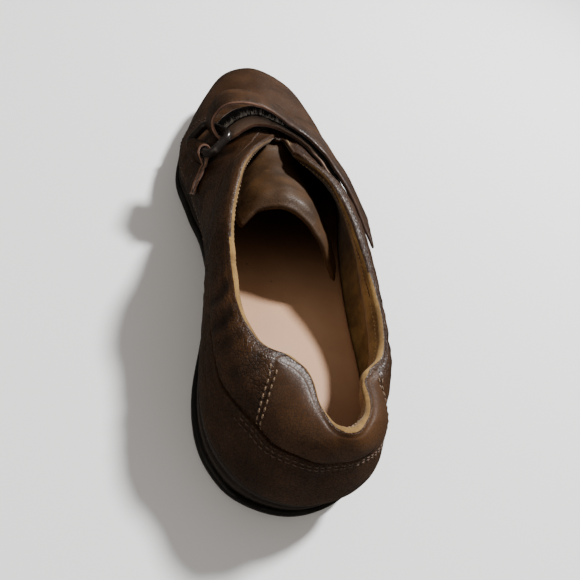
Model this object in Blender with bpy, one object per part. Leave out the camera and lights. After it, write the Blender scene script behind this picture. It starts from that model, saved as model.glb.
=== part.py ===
"""Leather walking shoe for the right foot, with a strap that turns back through a ring.

The shoe stands on its sole. X runs from the medial side to the lateral side, Y from heel
to toe, Z up. The origin lies under the middle of the sole, on the ground.
"""
import math

import bmesh
import bpy
import numpy as np
from mathutils import Matrix, Vector
from mathutils.bvhtree import BVHTree

# Driving sizes, in metres
LENGTH = 0.284            # outsole, heel to toe
BALL_WIDTH = 0.106        # outsole across the ball
HEEL_WIDTH = 0.080        # outsole across the heel
COLLAR_HEIGHT = 0.067     # ground to the top of the collar, at the back
HEEL_THICKNESS = 0.024    # whole sole under the heel
BALL_THICKNESS = 0.0145   # whole sole under the ball
TOE_SPRING = 0.009        # lift of the sole at the toe tip
BACK_LIFT = 0.004         # bevel of the sole at the back of the heel
ARCH_LIFT = 0.004         # hollow under the waist
OUTSOLE = 0.0062          # rubber layer under the wedge
SOLE_EDGE = 0.0012        # rounding of the rubber's edges
WEDGE_INSET = 0.0016      # wedge set in from the rubber's edge
WEDGE_GROOVE = 0.0011     # groove along the wedge's side
FEATHER_INSET = 0.0014    # upper set in from the rubber's edge
WALL = 0.0020             # leather and lining
QUARTER_STEP = 0.0011     # quarters lie on the vamp
COLLAR_STEP = 0.0008      # groove between collar and counter
INSOLE = 0.0035
TONGUE = 0.0026
STRAP_WIDTH = 0.021
STRAP = 0.0018
TAPE = 0.0007             # hook tape or loop tape
TAPE_MARGIN = 0.0022      # leather left bare along the tapes
RING_BAR = 0.0042
RING_DROP = 0.0150        # between the ring's two long bars
TAB_WIDTH = 0.012
TAB = 0.0014
TAB_LENGTH = 0.024
GAP = 0.0003              # between pieces that meet
RING_PLAY = 0.0006        # between leather and ring
TOP_LAYER = STRAP + TAPE * 2 + GAP * 5

STATIONS = 44
BALL_HALF = BALL_WIDTH / 2
HEEL_HALF = HEEL_WIDTH / 2

# Outline of the outsole: station (share of LENGTH), then the medial and the lateral
# edge (shares of the half width at that station)
OUTLINE = (
    (0.000, 0.05, 0.05),
    (0.045, -0.69, 0.80),
    (0.100, -0.93, 0.92),
    (0.180, -1.01, 0.95),
    (0.270, -0.93, 0.95),
    (0.370, -0.78, 0.91),
    (0.470, -0.76, 0.88),
    (0.570, -0.86, 0.91),
    (0.660, -1.00, 0.95),
    (0.740, -0.985, 0.92),
    (0.820, -0.89, 0.80),
    (0.900, -0.74, 0.60),
    (0.955, -0.60, 0.41),
    (1.000, -0.16, -0.16),
)

# Thickness of the whole sole along its length: station, share of HEEL_THICKNESS,
# share of BALL_THICKNESS
THICKNESS = (
    (0.00, 1.02, 0.00),
    (0.18, 1.00, 0.00),
    (0.34, 0.66, 0.34),
    (0.48, 0.26, 0.74),
    (0.64, 0.00, 1.00),
    (0.82, 0.00, 0.94),
    (1.00, 0.00, 0.86),
)

# Topline and throat of the upper, one table a side. Each row: station of the outline
# that the line of leather starts from, then where it ends: x (share of the half width),
# y (share of LENGTH), z (share of COLLAR_HEIGHT)
MEDIAL_TOP = (
    (0.000, 0.100, 0.062, 0.975),
    (0.020, -0.025, 0.076, 0.930),
    (0.042, -0.100, 0.099, 0.900),
    (0.064, -0.165, 0.130, 0.895),
    (0.082, -0.270, 0.147, 0.900),
    (0.105, -0.410, 0.158, 0.910),
    (0.135, -0.560, 0.173, 0.900),
    (0.180, -0.700, 0.215, 0.895),
    (0.250, -0.760, 0.271, 0.905),
    (0.320, -0.770, 0.327, 0.940),
    (0.390, -0.745, 0.373, 1.015),
    (0.450, -0.660, 0.419, 1.070),
    (0.505, -0.550, 0.468, 1.082),
    (0.545, -0.410, 0.512, 1.060),
    (0.572, -0.285, 0.546, 1.022),
    (0.600, -0.245, 0.560, 0.992),
    (0.660, -0.222, 0.574, 0.960),
    (0.800, -0.196, 0.594, 0.910),
    (1.000, -0.115, 0.602, 0.880),
)
LATERAL_TOP = (
    (0.000, 0.100, 0.062, 0.975),
    (0.020, 0.250, 0.070, 0.945),
    (0.042, 0.375, 0.088, 0.903),
    (0.064, 0.450, 0.109, 0.858),
    (0.085, 0.490, 0.138, 0.815),
    (0.110, 0.620, 0.158, 0.806),
    (0.145, 0.725, 0.180, 0.804),
    (0.200, 0.785, 0.212, 0.803),
    (0.260, 0.810, 0.257, 0.812),
    (0.320, 0.740, 0.310, 0.850),
    (0.380, 0.585, 0.373, 0.930),
    (0.430, 0.420, 0.430, 0.998),
    (0.480, 0.245, 0.482, 1.030),
    (0.522, 0.040, 0.513, 1.022),
    (0.555, 0.000, 0.528, 0.998),
    (0.640, -0.015, 0.552, 0.955),
    (0.800, -0.040, 0.590, 0.905),
    (1.000, -0.115, 0.602, 0.880),
)

# Shape of each line of leather, one table a side. Each row: station, rise of its foot
# (share of its height), then as shares of BALL_HALF: bulge at the foot, reach and drop
# where it meets the top
MEDIAL_SHAPE = (
    (0.000, 0.24, 0.000, 0.06, 0.32),
    (0.045, 0.38, 0.015, 0.21, 0.06),
    (0.105, 0.42, 0.030, 0.19, 0.08),
    (0.180, 0.40, 0.050, 0.09, 0.15),
    (0.250, 0.38, 0.110, 0.06, 0.22),
    (0.370, 0.34, 0.190, 0.07, 0.25),
    (0.450, 0.30, 0.170, 0.10, 0.27),
    (0.505, 0.29, 0.120, 0.15, 0.26),
    (0.572, 0.30, 0.070, 0.26, 0.19),
    (0.660, 0.30, 0.045, 0.32, 0.16),
    (0.780, 0.36, 0.035, 0.52, 0.19),
    (0.900, 0.50, 0.030, 0.86, 0.24),
    (1.000, 0.74, 0.030, 1.05, 0.25),
)
LATERAL_SHAPE = (
    (0.000, 0.24, 0.000, 0.06, 0.32),
    (0.045, 0.38, 0.000, 0.11, 0.10),
    (0.085, 0.44, 0.015, 0.13, 0.08),
    (0.145, 0.42, 0.040, 0.08, 0.11),
    (0.260, 0.38, 0.100, 0.07, 0.15),
    (0.380, 0.34, 0.090, 0.18, 0.15),
    (0.480, 0.30, 0.045, 0.26, 0.15),
    (0.522, 0.30, 0.035, 0.30, 0.12),
    (0.660, 0.30, 0.030, 0.40, 0.15),
    (0.780, 0.38, 0.035, 0.60, 0.19),
    (0.900, 0.52, 0.030, 0.88, 0.24),
    (1.000, 0.74, 0.030, 1.05, 0.25),
)

# Padded collar, the same on both sides: station, where on the wall it starts (share of
# the line of leather), then swell outside and padding inside (shares of WALL)
COLLAR = (
    (0.000, 0.70, 0.95, 2.00),
    (0.018, 0.65, 1.00, 2.00),
    (0.045, 0.545, 1.05, 2.10),
    (0.080, 0.50, 1.10, 2.20),
    (0.125, 0.50, 1.05, 2.20),
    (0.180, 0.54, 0.95, 2.00),
    (0.370, 0.58, 0.75, 1.50),
    (0.450, 0.66, 0.60, 1.00),
    (0.505, 0.76, 0.35, 0.50),
    (0.545, 0.82, 0.12, 0.15),
    (0.572, 0.84, 0.00, 0.00),
    (1.000, 0.84, 0.00, 0.00),
)
MEDIAL_SEAM = 0.770
LATERAL_SEAM = 0.528
SEAM_SLOPE = 0.0022
BELOW_COLLAR = (0.0, 0.13, 0.32, 0.54, 0.78, 0.94, 1.0)
IN_COLLAR = (0.07, 0.22, 0.42, 0.62, 0.80, 0.93, 1.0)

# Tongue, from its front edge under the vamp to its free edge. Each row holds five
# places across it: x (share of BALL_HALF), y (share of LENGTH), z (share of
# COLLAR_HEIGHT)
TONGUE_ROWS = (
    ((-0.38, 0.640, 0.78), (-0.25, 0.652, 0.84), (-0.11, 0.656, 0.86), (0.05, 0.650, 0.84),
     (0.20, 0.632, 0.76)),
    ((-0.46, 0.570, 0.74), (-0.30, 0.576, 0.84), (-0.12, 0.578, 0.865), (0.09, 0.566, 0.83),
     (0.32, 0.540, 0.70)),
    ((-0.52, 0.490, 0.76), (-0.36, 0.500, 0.90), (-0.14, 0.500, 0.955), (0.12, 0.480, 0.90),
     (0.38, 0.448, 0.70)),
    ((-0.54, 0.430, 0.81), (-0.38, 0.442, 0.94), (-0.14, 0.440, 1.02), (0.14, 0.416, 0.94),
     (0.43, 0.376, 0.68)),
    ((-0.51, 0.398, 0.83), (-0.37, 0.415, 0.93), (-0.14, 0.412, 0.985), (0.15, 0.386, 0.90),
     (0.42, 0.344, 0.635)),
)

# Strap, in one course from its lateral root, over the throat, round the ring and back.
# Each row: rear edge x (share of BALL_HALF), y (share of LENGTH), z (share of
# COLLAR_HEIGHT), width (share of STRAP_WIDTH), then which way the front edge lies:
# degrees toward the lateral side and degrees down
STRAP_ROWS = (
    (0.755, 0.422, 0.510, 1.00, 0, -3),
    (0.717, 0.479, 0.657, 1.00, 5, 5),
    (0.585, 0.521, 0.746, 1.00, 8, 12),
    (0.415, 0.562, 0.813, 1.00, 12, 17),
    (0.226, 0.595, 0.873, 1.00, 12, 20),
    (0.038, 0.611, 0.933, 1.00, 8, 20),
    (-0.151, 0.611, 0.975, 1.00, 4, 18),
    (-0.321, 0.609, 0.979, 0.95, 0, 17),
    (-0.443, 0.606, 0.925, 0.86, 0, 17),
    (-0.519, 0.600, 0.851, 0.79, 0, 13),
    (-0.566, 0.596, 0.806, 0.76, 0, 9),
    (-0.623, 0.595, 0.791, 0.76, 0, 7),
    (-0.689, 0.597, 0.821, 0.76, 0, 9),
    (-0.745, 0.602, 0.888, 0.80, 0, 13),
    (-0.751, 0.607, 0.970, 0.87, 0, 17),
    (-0.679, 0.614, 1.060, 0.94, 0, 17),
    (-0.547, 0.617, 1.104, 1.00, 2, 17),
    (-0.358, 0.618, 1.112, 1.00, 4, 18),
    (-0.189, 0.616, 1.079, 1.00, 6, 19),
    (-0.019, 0.613, 1.015, 1.00, 9, 20),
    (0.151, 0.609, 0.955, 1.00, 12, 20),
    (0.345, 0.588, 0.900, 1.00, 12, 18),
    (0.468, 0.565, 0.864, 1.00, 12, 17),
    (0.650, 0.523, 0.790, 1.00, 8, 12),
    (0.790, 0.480, 0.691, 1.00, 5, 5),
    (0.915, 0.430, 0.612, 0.98, 2, 0),
)
STRAP_STEPS = 2           # rows of the mesh for each row of the table
RING_ROW = 11             # row of the table that lies round the ring's bar
TURN_ROWS = 2             # rows of the table in half of the turn round the bar
SEATED_ROW = 1.2          # up to here the strap lies on the quarter
FREE_ROW = 4.0            # from here it stands free
PRESSED_ROW = 19          # from here the top layer is pressed on the under layer
LOOP_ROWS = (1.6, 7.0)    # stretch that carries the loop tape
HOOK_ROWS = (17.3, 24.6)  # stretch that carries the hook tape
RING_SEAT = 0.0045        # middle of the ring's bar over the strap
TAB_RUN = 7               # rows in each leg of the tab
TAB_TURN = 8              # rows in its fold
TAB_WRAP = 220            # degrees of the fold round the bar
TAB_FREE = 1.7            # length of a leg's free start, as a share of the fold's radius
TAB_TIP = 0.17            # width of the rounded tip, as a share of the tab's
ACROSS = 6                # faces across each strip
RING_BEND = 5             # faces in each corner of the ring
RING_SIDES = 8            # faces round its bar
RING_CORNER = 0.95        # radius of its corners, as a share of the bar
RING_TURNS = 90           # degrees that it may lean
RING_AIM = (-0.690, 0.570, 0.655)  # where the ring points to, in shares as above
TAB_AIM = (-0.860, 0.535, 0.420)   # where the tab points to


def ramp(value, low, high):
    """Rises smoothly from 0 at low to 1 at high."""
    f = min(max((value - low) / (high - low), 0.0), 1.0)
    return f * f * (3 - 2 * f)


def read(table, column, place):
    """Reads a column of a table between its rows, on a smooth curve."""
    at = np.array([row[0] for row in table], float)
    value = np.array([row[column] for row in table], float)
    slope = np.gradient(value, at)
    k = int(np.clip(np.searchsorted(at, place, side="right") - 1, 0, len(at) - 2))
    span = at[k + 1] - at[k]
    f = (place - at[k]) / span
    start = value[k] * (1 + 2 * f) * (1 - f) ** 2 + slope[k] * span * f * (1 - f) ** 2
    end = value[k + 1] * f * f * (3 - 2 * f) + slope[k + 1] * span * f * f * (f - 1)
    return float(start + end)


def along(points, place):
    """Runs a smooth curve through points, place from 0 at the first to 1 at the last."""
    place = min(max(place, 0.0), 1.0) * (len(points) - 1)
    k = min(int(place), len(points) - 2)
    f = place - k
    a, b = points[k], points[k + 1]
    before = points[k - 1] if k > 0 else a * 2 - b
    after = points[k + 2] if k + 2 < len(points) else b * 2 - a
    tangent_a = (b - before) / 2
    tangent_b = (after - a) / 2
    point = a * (2 * f ** 3 - 3 * f ** 2 + 1) + b * (3 * f ** 2 - 2 * f ** 3)
    return point + tangent_a * (f ** 3 - 2 * f ** 2 + f) + tangent_b * (f ** 3 - f ** 2)


def round_end(table):
    """Gives a table in the angle that makes its ends round, in place of the station."""
    return tuple((math.acos(1 - 2 * row[0]) / math.pi,) + tuple(row[1:]) for row in table)


def half_width(station):
    """Half the outsole's nominal width: heel behind the waist, ball ahead of it."""
    blend = ramp(station, 0.25, 0.60)
    return HEEL_HALF + (BALL_HALF - HEEL_HALF) * blend


def to_y(station):
    return (station - 0.5) * LENGTH


def place(x_share, y_share, z_share):
    """A point given in shares of BALL_HALF, LENGTH and COLLAR_HEIGHT."""
    return Vector((x_share * BALL_HALF, to_y(y_share), z_share * COLLAR_HEIGHT))


def toe_rise(station):
    return TOE_SPRING * max((station - 0.72) / 0.28, 0.0) ** 2


def sole_bottom(station):
    back = BACK_LIFT * (1 - ramp(station, 0.0, 0.05))
    arch = ARCH_LIFT * ramp(station, 0.33, 0.42) * (1 - ramp(station, 0.48, 0.57))
    return back + arch + toe_rise(station)


def sole_top(station):
    heel = read(THICKNESS, 1, station) * HEEL_THICKNESS
    ball = read(THICKNESS, 2, station) * BALL_THICKNESS
    return heel + ball + toe_rise(station)


ROUND_OUTLINE = round_end(OUTLINE)


def outline_at(angle, side):
    """A point on the outsole's outline: angle 0 at the heel, 1 at the toe; side 1 or 2."""
    station = (1 - math.cos(math.pi * angle)) / 2
    return Vector((read(ROUND_OUTLINE, side, angle) * half_width(station), to_y(station), 0))


def outward(angle, side):
    """Unit normal of the outline, pointing away from the foot."""
    if angle < 1e-6:
        return Vector((0, -1, 0))
    if angle > 1 - 1e-6:
        return Vector((0, 1, 0))
    step = 0.004
    run = outline_at(min(angle + step, 1), side) - outline_at(max(angle - step, 0), side)
    run.normalize()
    return Vector((-run.y, run.x, 0)) if side == 1 else Vector((run.y, -run.x, 0))


def inset_at(angle, side, inset):
    return outline_at(angle, side) - outward(angle, side) * inset


def station_of(point):
    return min(max(point.y / LENGTH + 0.5, 0.0), 1.0)


def sole_ring(inset, height):
    """One closed ring of the sole: an inset of the outline, at height(station)."""
    angles = [k / STATIONS for k in range(STATIONS + 1)]
    ring = [inset_at(angle, 1, inset) for angle in angles]
    ring += [inset_at(angle, 2, inset) for angle in reversed(angles[1:-1])]
    for point in ring:
        point.z = height(station_of(point))
    return ring


def material(name, colour, roughness, metallic=0.0):
    made = bpy.data.materials.new(name)
    made.use_nodes = True
    shader = made.node_tree.nodes["Principled BSDF"]
    shader.inputs["Base Color"].default_value = (*colour, 1)
    shader.inputs["Roughness"].default_value = roughness
    shader.inputs["Metallic"].default_value = metallic
    return made


def finish_object(name, bm, made):
    """Turns a closed mesh into an object, faces outward and shaded smooth."""
    bmesh.ops.remove_doubles(bm, verts=bm.verts, dist=1e-6)
    bmesh.ops.triangulate(bm, faces=bm.faces)
    bmesh.ops.recalc_face_normals(bm, faces=bm.faces)
    if bm.calc_volume(signed=True) < 0:
        bmesh.ops.reverse_faces(bm, faces=bm.faces)
    mesh = bpy.data.meshes.new(name)
    bm.to_mesh(mesh)
    bm.free()
    mesh.shade_smooth()
    mesh.set_sharp_from_angle(angle=math.radians(40))
    mesh.materials.append(made)
    piece = bpy.data.objects.new(name, mesh)
    bpy.context.scene.collection.objects.link(piece)
    return piece


def join_loops(bm, loops, closed):
    """Joins each closed loop of points to the next with a band of faces."""
    made = [[bm.verts.new(point) for point in loop] for loop in loops]
    pairs = list(zip(made, made[1:]))
    if closed:
        pairs.append((made[-1], made[0]))
    count = len(made[0])
    for low, high in pairs:
        for k in range(count):
            n = (k + 1) % count
            bm.faces.new((low[k], low[n], high[n], high[k]))
    return made


def cap_across(bm, ring):
    """Closes a sole ring with strips from its medial edge to its lateral edge."""
    count = len(ring)
    for k in range(STATIONS):
        corners = [ring[k], ring[k + 1], ring[-(k + 1) % count], ring[-k % count]]
        bm.faces.new(list(dict.fromkeys(corners)))


def sole_layer(name, rings, made):
    bm = bmesh.new()
    loops = join_loops(bm, [sole_ring(inset, height) for inset, height in rings], False)
    cap_across(bm, loops[0])
    cap_across(bm, loops[-1])
    return finish_object(name, bm, made)


def make_outsole(made):
    rings = (
        (SOLE_EDGE * 2, sole_bottom),
        (SOLE_EDGE * 0.5, lambda s: sole_bottom(s) + SOLE_EDGE),
        (0.0, lambda s: sole_bottom(s) + SOLE_EDGE * 2),
        (0.0, lambda s: sole_bottom(s) + OUTSOLE - SOLE_EDGE),
        (SOLE_EDGE, lambda s: sole_bottom(s) + OUTSOLE),
    )
    return sole_layer("outsole", rings, made)


def make_wedge(made):
    """The wedge between rubber and upper, with a groove along its side."""
    def level(share):
        def height(station):
            low = sole_bottom(station) + OUTSOLE + GAP
            return low + (sole_top(station) - low) * share
        return height
    rings = (
        (WEDGE_INSET * 1.5, level(0.0)),
        (WEDGE_INSET, level(0.14)),
        (WEDGE_INSET, level(0.46)),
        (WEDGE_INSET + WEDGE_GROOVE, level(0.54)),
        (WEDGE_INSET, level(0.62)),
        (WEDGE_INSET, level(0.90)),
        (WEDGE_INSET * 1.5, level(1.0)),
    )
    return sole_layer("wedge_midsole", rings, made)


def make_insole(made):
    inset = FEATHER_INSET + WALL + GAP * 3
    rings = (
        (inset, lambda s: sole_top(s) + GAP),
        (inset, lambda s: sole_top(s) + GAP + INSOLE * 0.7),
        (inset + INSOLE * 0.3, lambda s: sole_top(s) + GAP + INSOLE),
    )
    return sole_layer("insole", rings, made)


def side_angles(seam):
    """Angles of the upper's columns on one side, with a close pair at the seam."""
    seam_angle = math.acos(1 - 2 * seam) / math.pi
    angles = [k / STATIONS for k in range(STATIONS + 1)]
    nearest = min(range(1, STATIONS), key=lambda k: abs(angles[k] - seam_angle))
    angles[nearest:nearest + 1] = [seam_angle - SEAM_SLOPE, seam_angle + SEAM_SLOPE]
    return angles


def wall_line(angle, side):
    """The four points that shape one line of the last, from the sole to the top."""
    top = round_end(MEDIAL_TOP if side == 1 else LATERAL_TOP)
    shape = round_end(MEDIAL_SHAPE if side == 1 else LATERAL_SHAPE)
    foot = inset_at(angle, side, FEATHER_INSET + WALL)
    foot.z = sole_top(station_of(foot)) + GAP
    y_share = read(top, 2, angle)
    end = Vector((read(top, 1, angle) * half_width(y_share), to_y(y_share),
                  read(top, 3, angle) * COLLAR_HEIGHT))
    away = outward(angle, side)
    fan = Vector((foot.x - end.x, foot.y - end.y, 0))
    spread = ramp(fan.length, 0.3 * HEEL_HALF, 1.1 * BALL_HALF)
    lean = (away * (1 - spread) + fan.normalized() * spread).normalized()
    low = foot + away * read(shape, 2, angle) * BALL_HALF
    low.z += read(shape, 1, angle) * (end.z - foot.z)
    high = end + lean * read(shape, 3, angle) * BALL_HALF
    high.z -= read(shape, 4, angle) * BALL_HALF
    return foot, low, high, end


def bezier(points, f):
    a, b, c, d = points
    g = 1 - f
    return a * g ** 3 + b * 3 * g * g * f + c * 3 * g * f * f + d * f ** 3


def make_upper(made):
    """Vamp, quarters, counter and padded collar: one hollow wall round the foot."""
    collar = round_end(COLLAR)
    columns = [(angle, 1) for angle in side_angles(MEDIAL_SEAM)]
    columns += [(angle, 2) for angle in reversed(side_angles(LATERAL_SEAM)[1:-1])]
    lines = [wall_line(angle, side) for angle, side in columns]
    starts = [read(collar, 1, angle) for angle, side in columns]
    rows = [(share, True) for share in BELOW_COLLAR] + [(share, False) for share in IN_COLLAR]

    def share_at(row, k):
        share, below = rows[row]
        return starts[k] * share if below else starts[k] + (1 - starts[k]) * share

    count = len(columns)
    base = [[bezier(lines[k], share_at(row, k)) for k in range(count)]
            for row in range(len(rows))]
    outer = []
    inner = []
    for row in range(len(rows)):
        outer_loop = []
        inner_loop = []
        for k in range(count):
            angle, side = columns[k]
            before = base[row][k - 1]
            after = base[row][(k + 1) % count]
            lower = base[max(row - 1, 0)][k]
            upper = base[min(row + 1, len(rows) - 1)][k]
            normal = (upper - lower).cross(after - before).normalized()
            up = (share_at(row, k) - starts[k]) / (1 - starts[k])
            hump = math.sin(math.pi * min(max(up, 0.0), 1.0)) ** 0.55
            swell = read(collar, 2, angle) * WALL * hump
            padding = read(collar, 3, angle) * WALL * ramp(up, -0.5, 0.45) * (1 - ramp(up, 0.6, 1.15))
            seam = math.acos(1 - 2 * (MEDIAL_SEAM if side == 1 else LATERAL_SEAM)) / math.pi
            step = QUARTER_STEP if angle < seam else 0.0
            groove = COLLAR_STEP if rows[row] == (1.0, True) and angle < seam else 0.0
            foot_fade = ramp(share_at(row, k), 0.0, 0.08)
            outside = base[row][k] + normal * (WALL + swell + step * foot_fade - groove)
            if row == 0:
                outside = inset_at(angle, side, FEATHER_INSET)
                outside.z = base[row][k].z
            outer_loop.append(outside)
            inner_loop.append(base[row][k] - normal * max(padding, 0.0))
        outer.append(outer_loop)
        inner.append(inner_loop)
    rim = []
    for k in range(count):
        rise = (base[-1][k] - base[-2][k]).normalized()
        thickness = (outer[-1][k] - inner[-1][k]).length
        rim.append((outer[-1][k] + inner[-1][k]) / 2 + rise * thickness * 0.4)
    bm = bmesh.new()
    join_loops(bm, outer + [rim] + list(reversed(inner)), True)
    upper = finish_object("upper", bm, made)
    border = count * (len(outer) + 1)
    return skin_of(upper, 0, border), skin_of(upper, border, len(upper.data.vertices))


def skin_of(piece, first, last):
    """The faces of a piece between two of its vertices, as a tree for seating others."""
    points = [vertex.co.copy() for vertex in piece.data.vertices]
    faces = [tuple(face.vertices) for face in piece.data.polygons
             if all(first <= k < last for k in face.vertices)]
    return BVHTree.FromPolygons(points, faces)


def strip_tree(rows):
    """The side of a strip that faces the other layer, as a tree."""
    count = len(rows[0])
    points = [point for row in rows for point in row]
    faces = [(low + k + 1, low + count + k + 1, low + count + k, low + k)
             for low in range(0, count * (len(rows) - 1), count) for k in range(count - 1)]
    return BVHTree.FromPolygons(points, faces)


def settle(skin, point, least, free=0.0):
    """The point drawn down to a height of least over the skin, wholly where free is 0
    and not at all where it is 1. A point that is lower than that is always raised."""
    hit, normal, _, _ = skin.find_nearest(point)
    height = (point - hit).dot(normal)
    if height < least:
        return hit + normal * least
    return point + normal * (least - height) * (1 - free)


def make_tongue(lining, made):
    """A curved sheet whose front lies under the vamp and whose rear edge is free."""
    across, back = 12, 14
    rows = [[place(*spot) for spot in row] for row in TONGUE_ROWS]
    top = []
    for i in range(back + 1):
        line = [along([row[k] for row in rows], i / back) for k in range(len(rows[0]))]
        made_row = []
        for j in range(across + 1):
            point = along(line, j / across)
            hit = lining.ray_cast(Vector((point.x, point.y, sole_top(0.5))), Vector((0, 0, 1)))[0]
            if hit is not None:
                point.z = min(point.z, hit.z - GAP * 2)
            made_row.append(point)
        top.append(made_row)
    bottom = []
    for i in range(back + 1):
        made_row = []
        for j in range(across + 1):
            run = top[min(i + 1, back)][j] - top[max(i - 1, 0)][j]
            side = top[i][min(j + 1, across)] - top[i][max(j - 1, 0)]
            down = run.cross(side).normalized()
            if down.z > 0:
                down = -down
            made_row.append(top[i][j] + down * TONGUE)
        bottom.append(made_row)
    bm = bmesh.new()
    upper = [[bm.verts.new(point) for point in row] for row in top]
    lower = [[bm.verts.new(point) for point in row] for row in bottom]
    for i in range(back):
        for j in range(across):
            bm.faces.new((upper[i][j], upper[i][j + 1], upper[i + 1][j + 1], upper[i + 1][j]))
            bm.faces.new((lower[i][j], lower[i + 1][j], lower[i + 1][j + 1], lower[i][j + 1]))
    for i in range(back):
        bm.faces.new((upper[i][0], upper[i + 1][0], lower[i + 1][0], lower[i][0]))
        bm.faces.new((upper[i][-1], lower[i][-1], lower[i + 1][-1], upper[i + 1][-1]))
    for j in range(across):
        bm.faces.new((upper[0][j], lower[0][j], lower[0][j + 1], upper[0][j + 1]))
        bm.faces.new((upper[-1][j], upper[-1][j + 1], lower[-1][j + 1], lower[-1][j]))
    return finish_object("tongue", bm, made)


def sheet_normals(rows):
    """Unit normals of a strip that is given as rows of points across it."""
    normals = []
    last = len(rows) - 1
    for k, row in enumerate(rows):
        found = []
        for j in range(len(row)):
            run = rows[min(k + 1, last)][j] - rows[max(k - 1, 0)][j]
            side = row[min(j + 1, len(row) - 1)] - row[max(j - 1, 0)]
            found.append(side.cross(run).normalized())
        normals.append(found)
    return normals


def raised(rows, height):
    """The strip's rows moved off along their normals."""
    return [[point + normal * height for point, normal in zip(row, side)]
            for row, side in zip(rows, sheet_normals(rows))]


def band(name, rows, thickness, made):
    """A strip of leather or tape of even thickness, its middle given by rows of points."""
    above = raised(rows, thickness / 2)
    below = raised(rows, -thickness / 2)
    bm = bmesh.new()
    rings = join_loops(bm, [high + low[::-1] for high, low in zip(above, below)], False)
    for ring in (rings[0], rings[-1]):
        for j in range(ACROSS):
            bm.faces.new((ring[j], ring[j + 1], ring[-j - 2], ring[-j - 1]))
    return finish_object(name, bm, made)


def strap_course(skin):
    """Rows of points along the strap's middle. They keep clear of the upper, and where
    the top layer is pressed down it lies one layer and two tapes over the under layer."""
    rears = [place(*row[:3]) for row in STRAP_ROWS]
    fronts = []
    for rear, row in zip(rears, STRAP_ROWS):
        turn, tilt = math.radians(row[4]), math.radians(row[5])
        ahead = Vector((math.sin(turn) * math.cos(tilt), math.cos(turn) * math.cos(tilt),
                        -math.sin(tilt)))
        fronts.append(rear + ahead * STRAP_WIDTH * row[3])
    last = len(STRAP_ROWS) - 1
    rows = []
    for k in range(last * STRAP_STEPS + 1):
        at = k / STRAP_STEPS
        rear, front = along(rears, at / last), along(fronts, at / last)
        row = [rear.lerp(front, j / ACROSS) for j in range(ACROSS + 1)]
        free = ramp(at, SEATED_ROW, FREE_ROW)
        row = [settle(skin, point, GAP * 2 + STRAP / 2, free) for point in row]
        if at >= PRESSED_ROW:
            under = strip_tree(rows[:(RING_ROW - TURN_ROWS) * STRAP_STEPS + 1])
            row = [settle(under, point, TOP_LAYER, 1.0) for point in row]
        rows.append(row)
    return rows


def make_strap(skin, made):
    """Under layer, turn round the ring's bar, and top layer, in one strip of leather.
    Gives the strip's rows, the middle of the ring's bar and the bar's direction."""
    rows = strap_course(skin)
    band("strap", rows, STRAP, made)
    held = raised(rows, RING_SEAT)[RING_ROW * STRAP_STEPS]
    return rows, (held[0] + held[-1]) / 2, (held[-1] - held[0]).normalized()


def make_tape(name, rows, stretch, made):
    """A tape on the side of the strap that faces the other layer, in from its edges."""
    first, last = (round(at * STRAP_STEPS) for at in stretch)
    inset = TAPE_MARGIN / STRAP_WIDTH
    spots = [inset + (1 - 2 * inset) * j / ACROSS for j in range(ACROSS + 1)]
    seated = raised(rows, (STRAP + TAPE) / 2 + GAP)[first:last + 1]
    band(name, [[along(row, spot) for spot in spots] for row in seated], TAPE, made)


def ring_path():
    """Middle of the ring's bar in its own plane: along its long side, and down."""
    held = STRAP_WIDTH * STRAP_ROWS[RING_ROW][3]
    half_long = (held + RING_BAR) / 2 + RING_PLAY * 2
    corner = RING_BAR * RING_CORNER
    path = []
    for turn, (side, end) in enumerate(((1, 1), (-1, 1), (-1, -1), (1, -1))):
        for k in range(RING_BEND + 1):
            angle = math.pi / 2 * (turn + k / RING_BEND)
            path.append((side * (half_long - corner) + math.cos(angle) * corner,
                         (end + 1) * RING_DROP / 2 - end * corner + math.sin(angle) * corner))
    return path


def make_ring(skin, centre, width, made):
    """A rounded rectangle of round bar. The strap turns round one long side, and the
    other lies as low as the leather and the tab round it let it."""
    path = ring_path()
    aim = place(*RING_AIM) - centre
    drop = (aim - width * aim.dot(width)).normalized()
    lift = Matrix.Rotation(math.radians(1), 3, width)
    if (lift @ drop).dot(skin.find_nearest(centre)[1]) < drop.dot(skin.find_nearest(centre)[1]):
        lift.invert()
    room = RING_BAR / 2 + RING_PLAY + TAB + GAP * 3
    for _ in range(RING_TURNS):
        spots = [centre + width * x + drop * y for x, y in path if y > RING_DROP / 2]
        gaps = [(spot - hit).dot(normal) for spot in spots
                for hit, normal, _, _ in [skin.find_nearest(spot)]]
        if min(gaps) > room:
            break
        drop = lift @ drop
    face = width.cross(drop)
    turns = [2 * math.pi * j / RING_SIDES for j in range(RING_SIDES)]
    loops = []
    for k, (x, y) in enumerate(path):
        before, after = path[k - 1], path[(k + 1) % len(path)]
        run = (width * (after[0] - before[0]) + drop * (after[1] - before[1])).normalized()
        out = run.cross(face)
        spot = centre + width * x + drop * y
        loops.append([spot + (out * math.cos(turn) + face * math.sin(turn)) * RING_BAR / 2
                      for turn in turns])
    bm = bmesh.new()
    join_loops(bm, loops, True)
    finish_object("ring", bm, made)
    return centre + drop * RING_DROP


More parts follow.
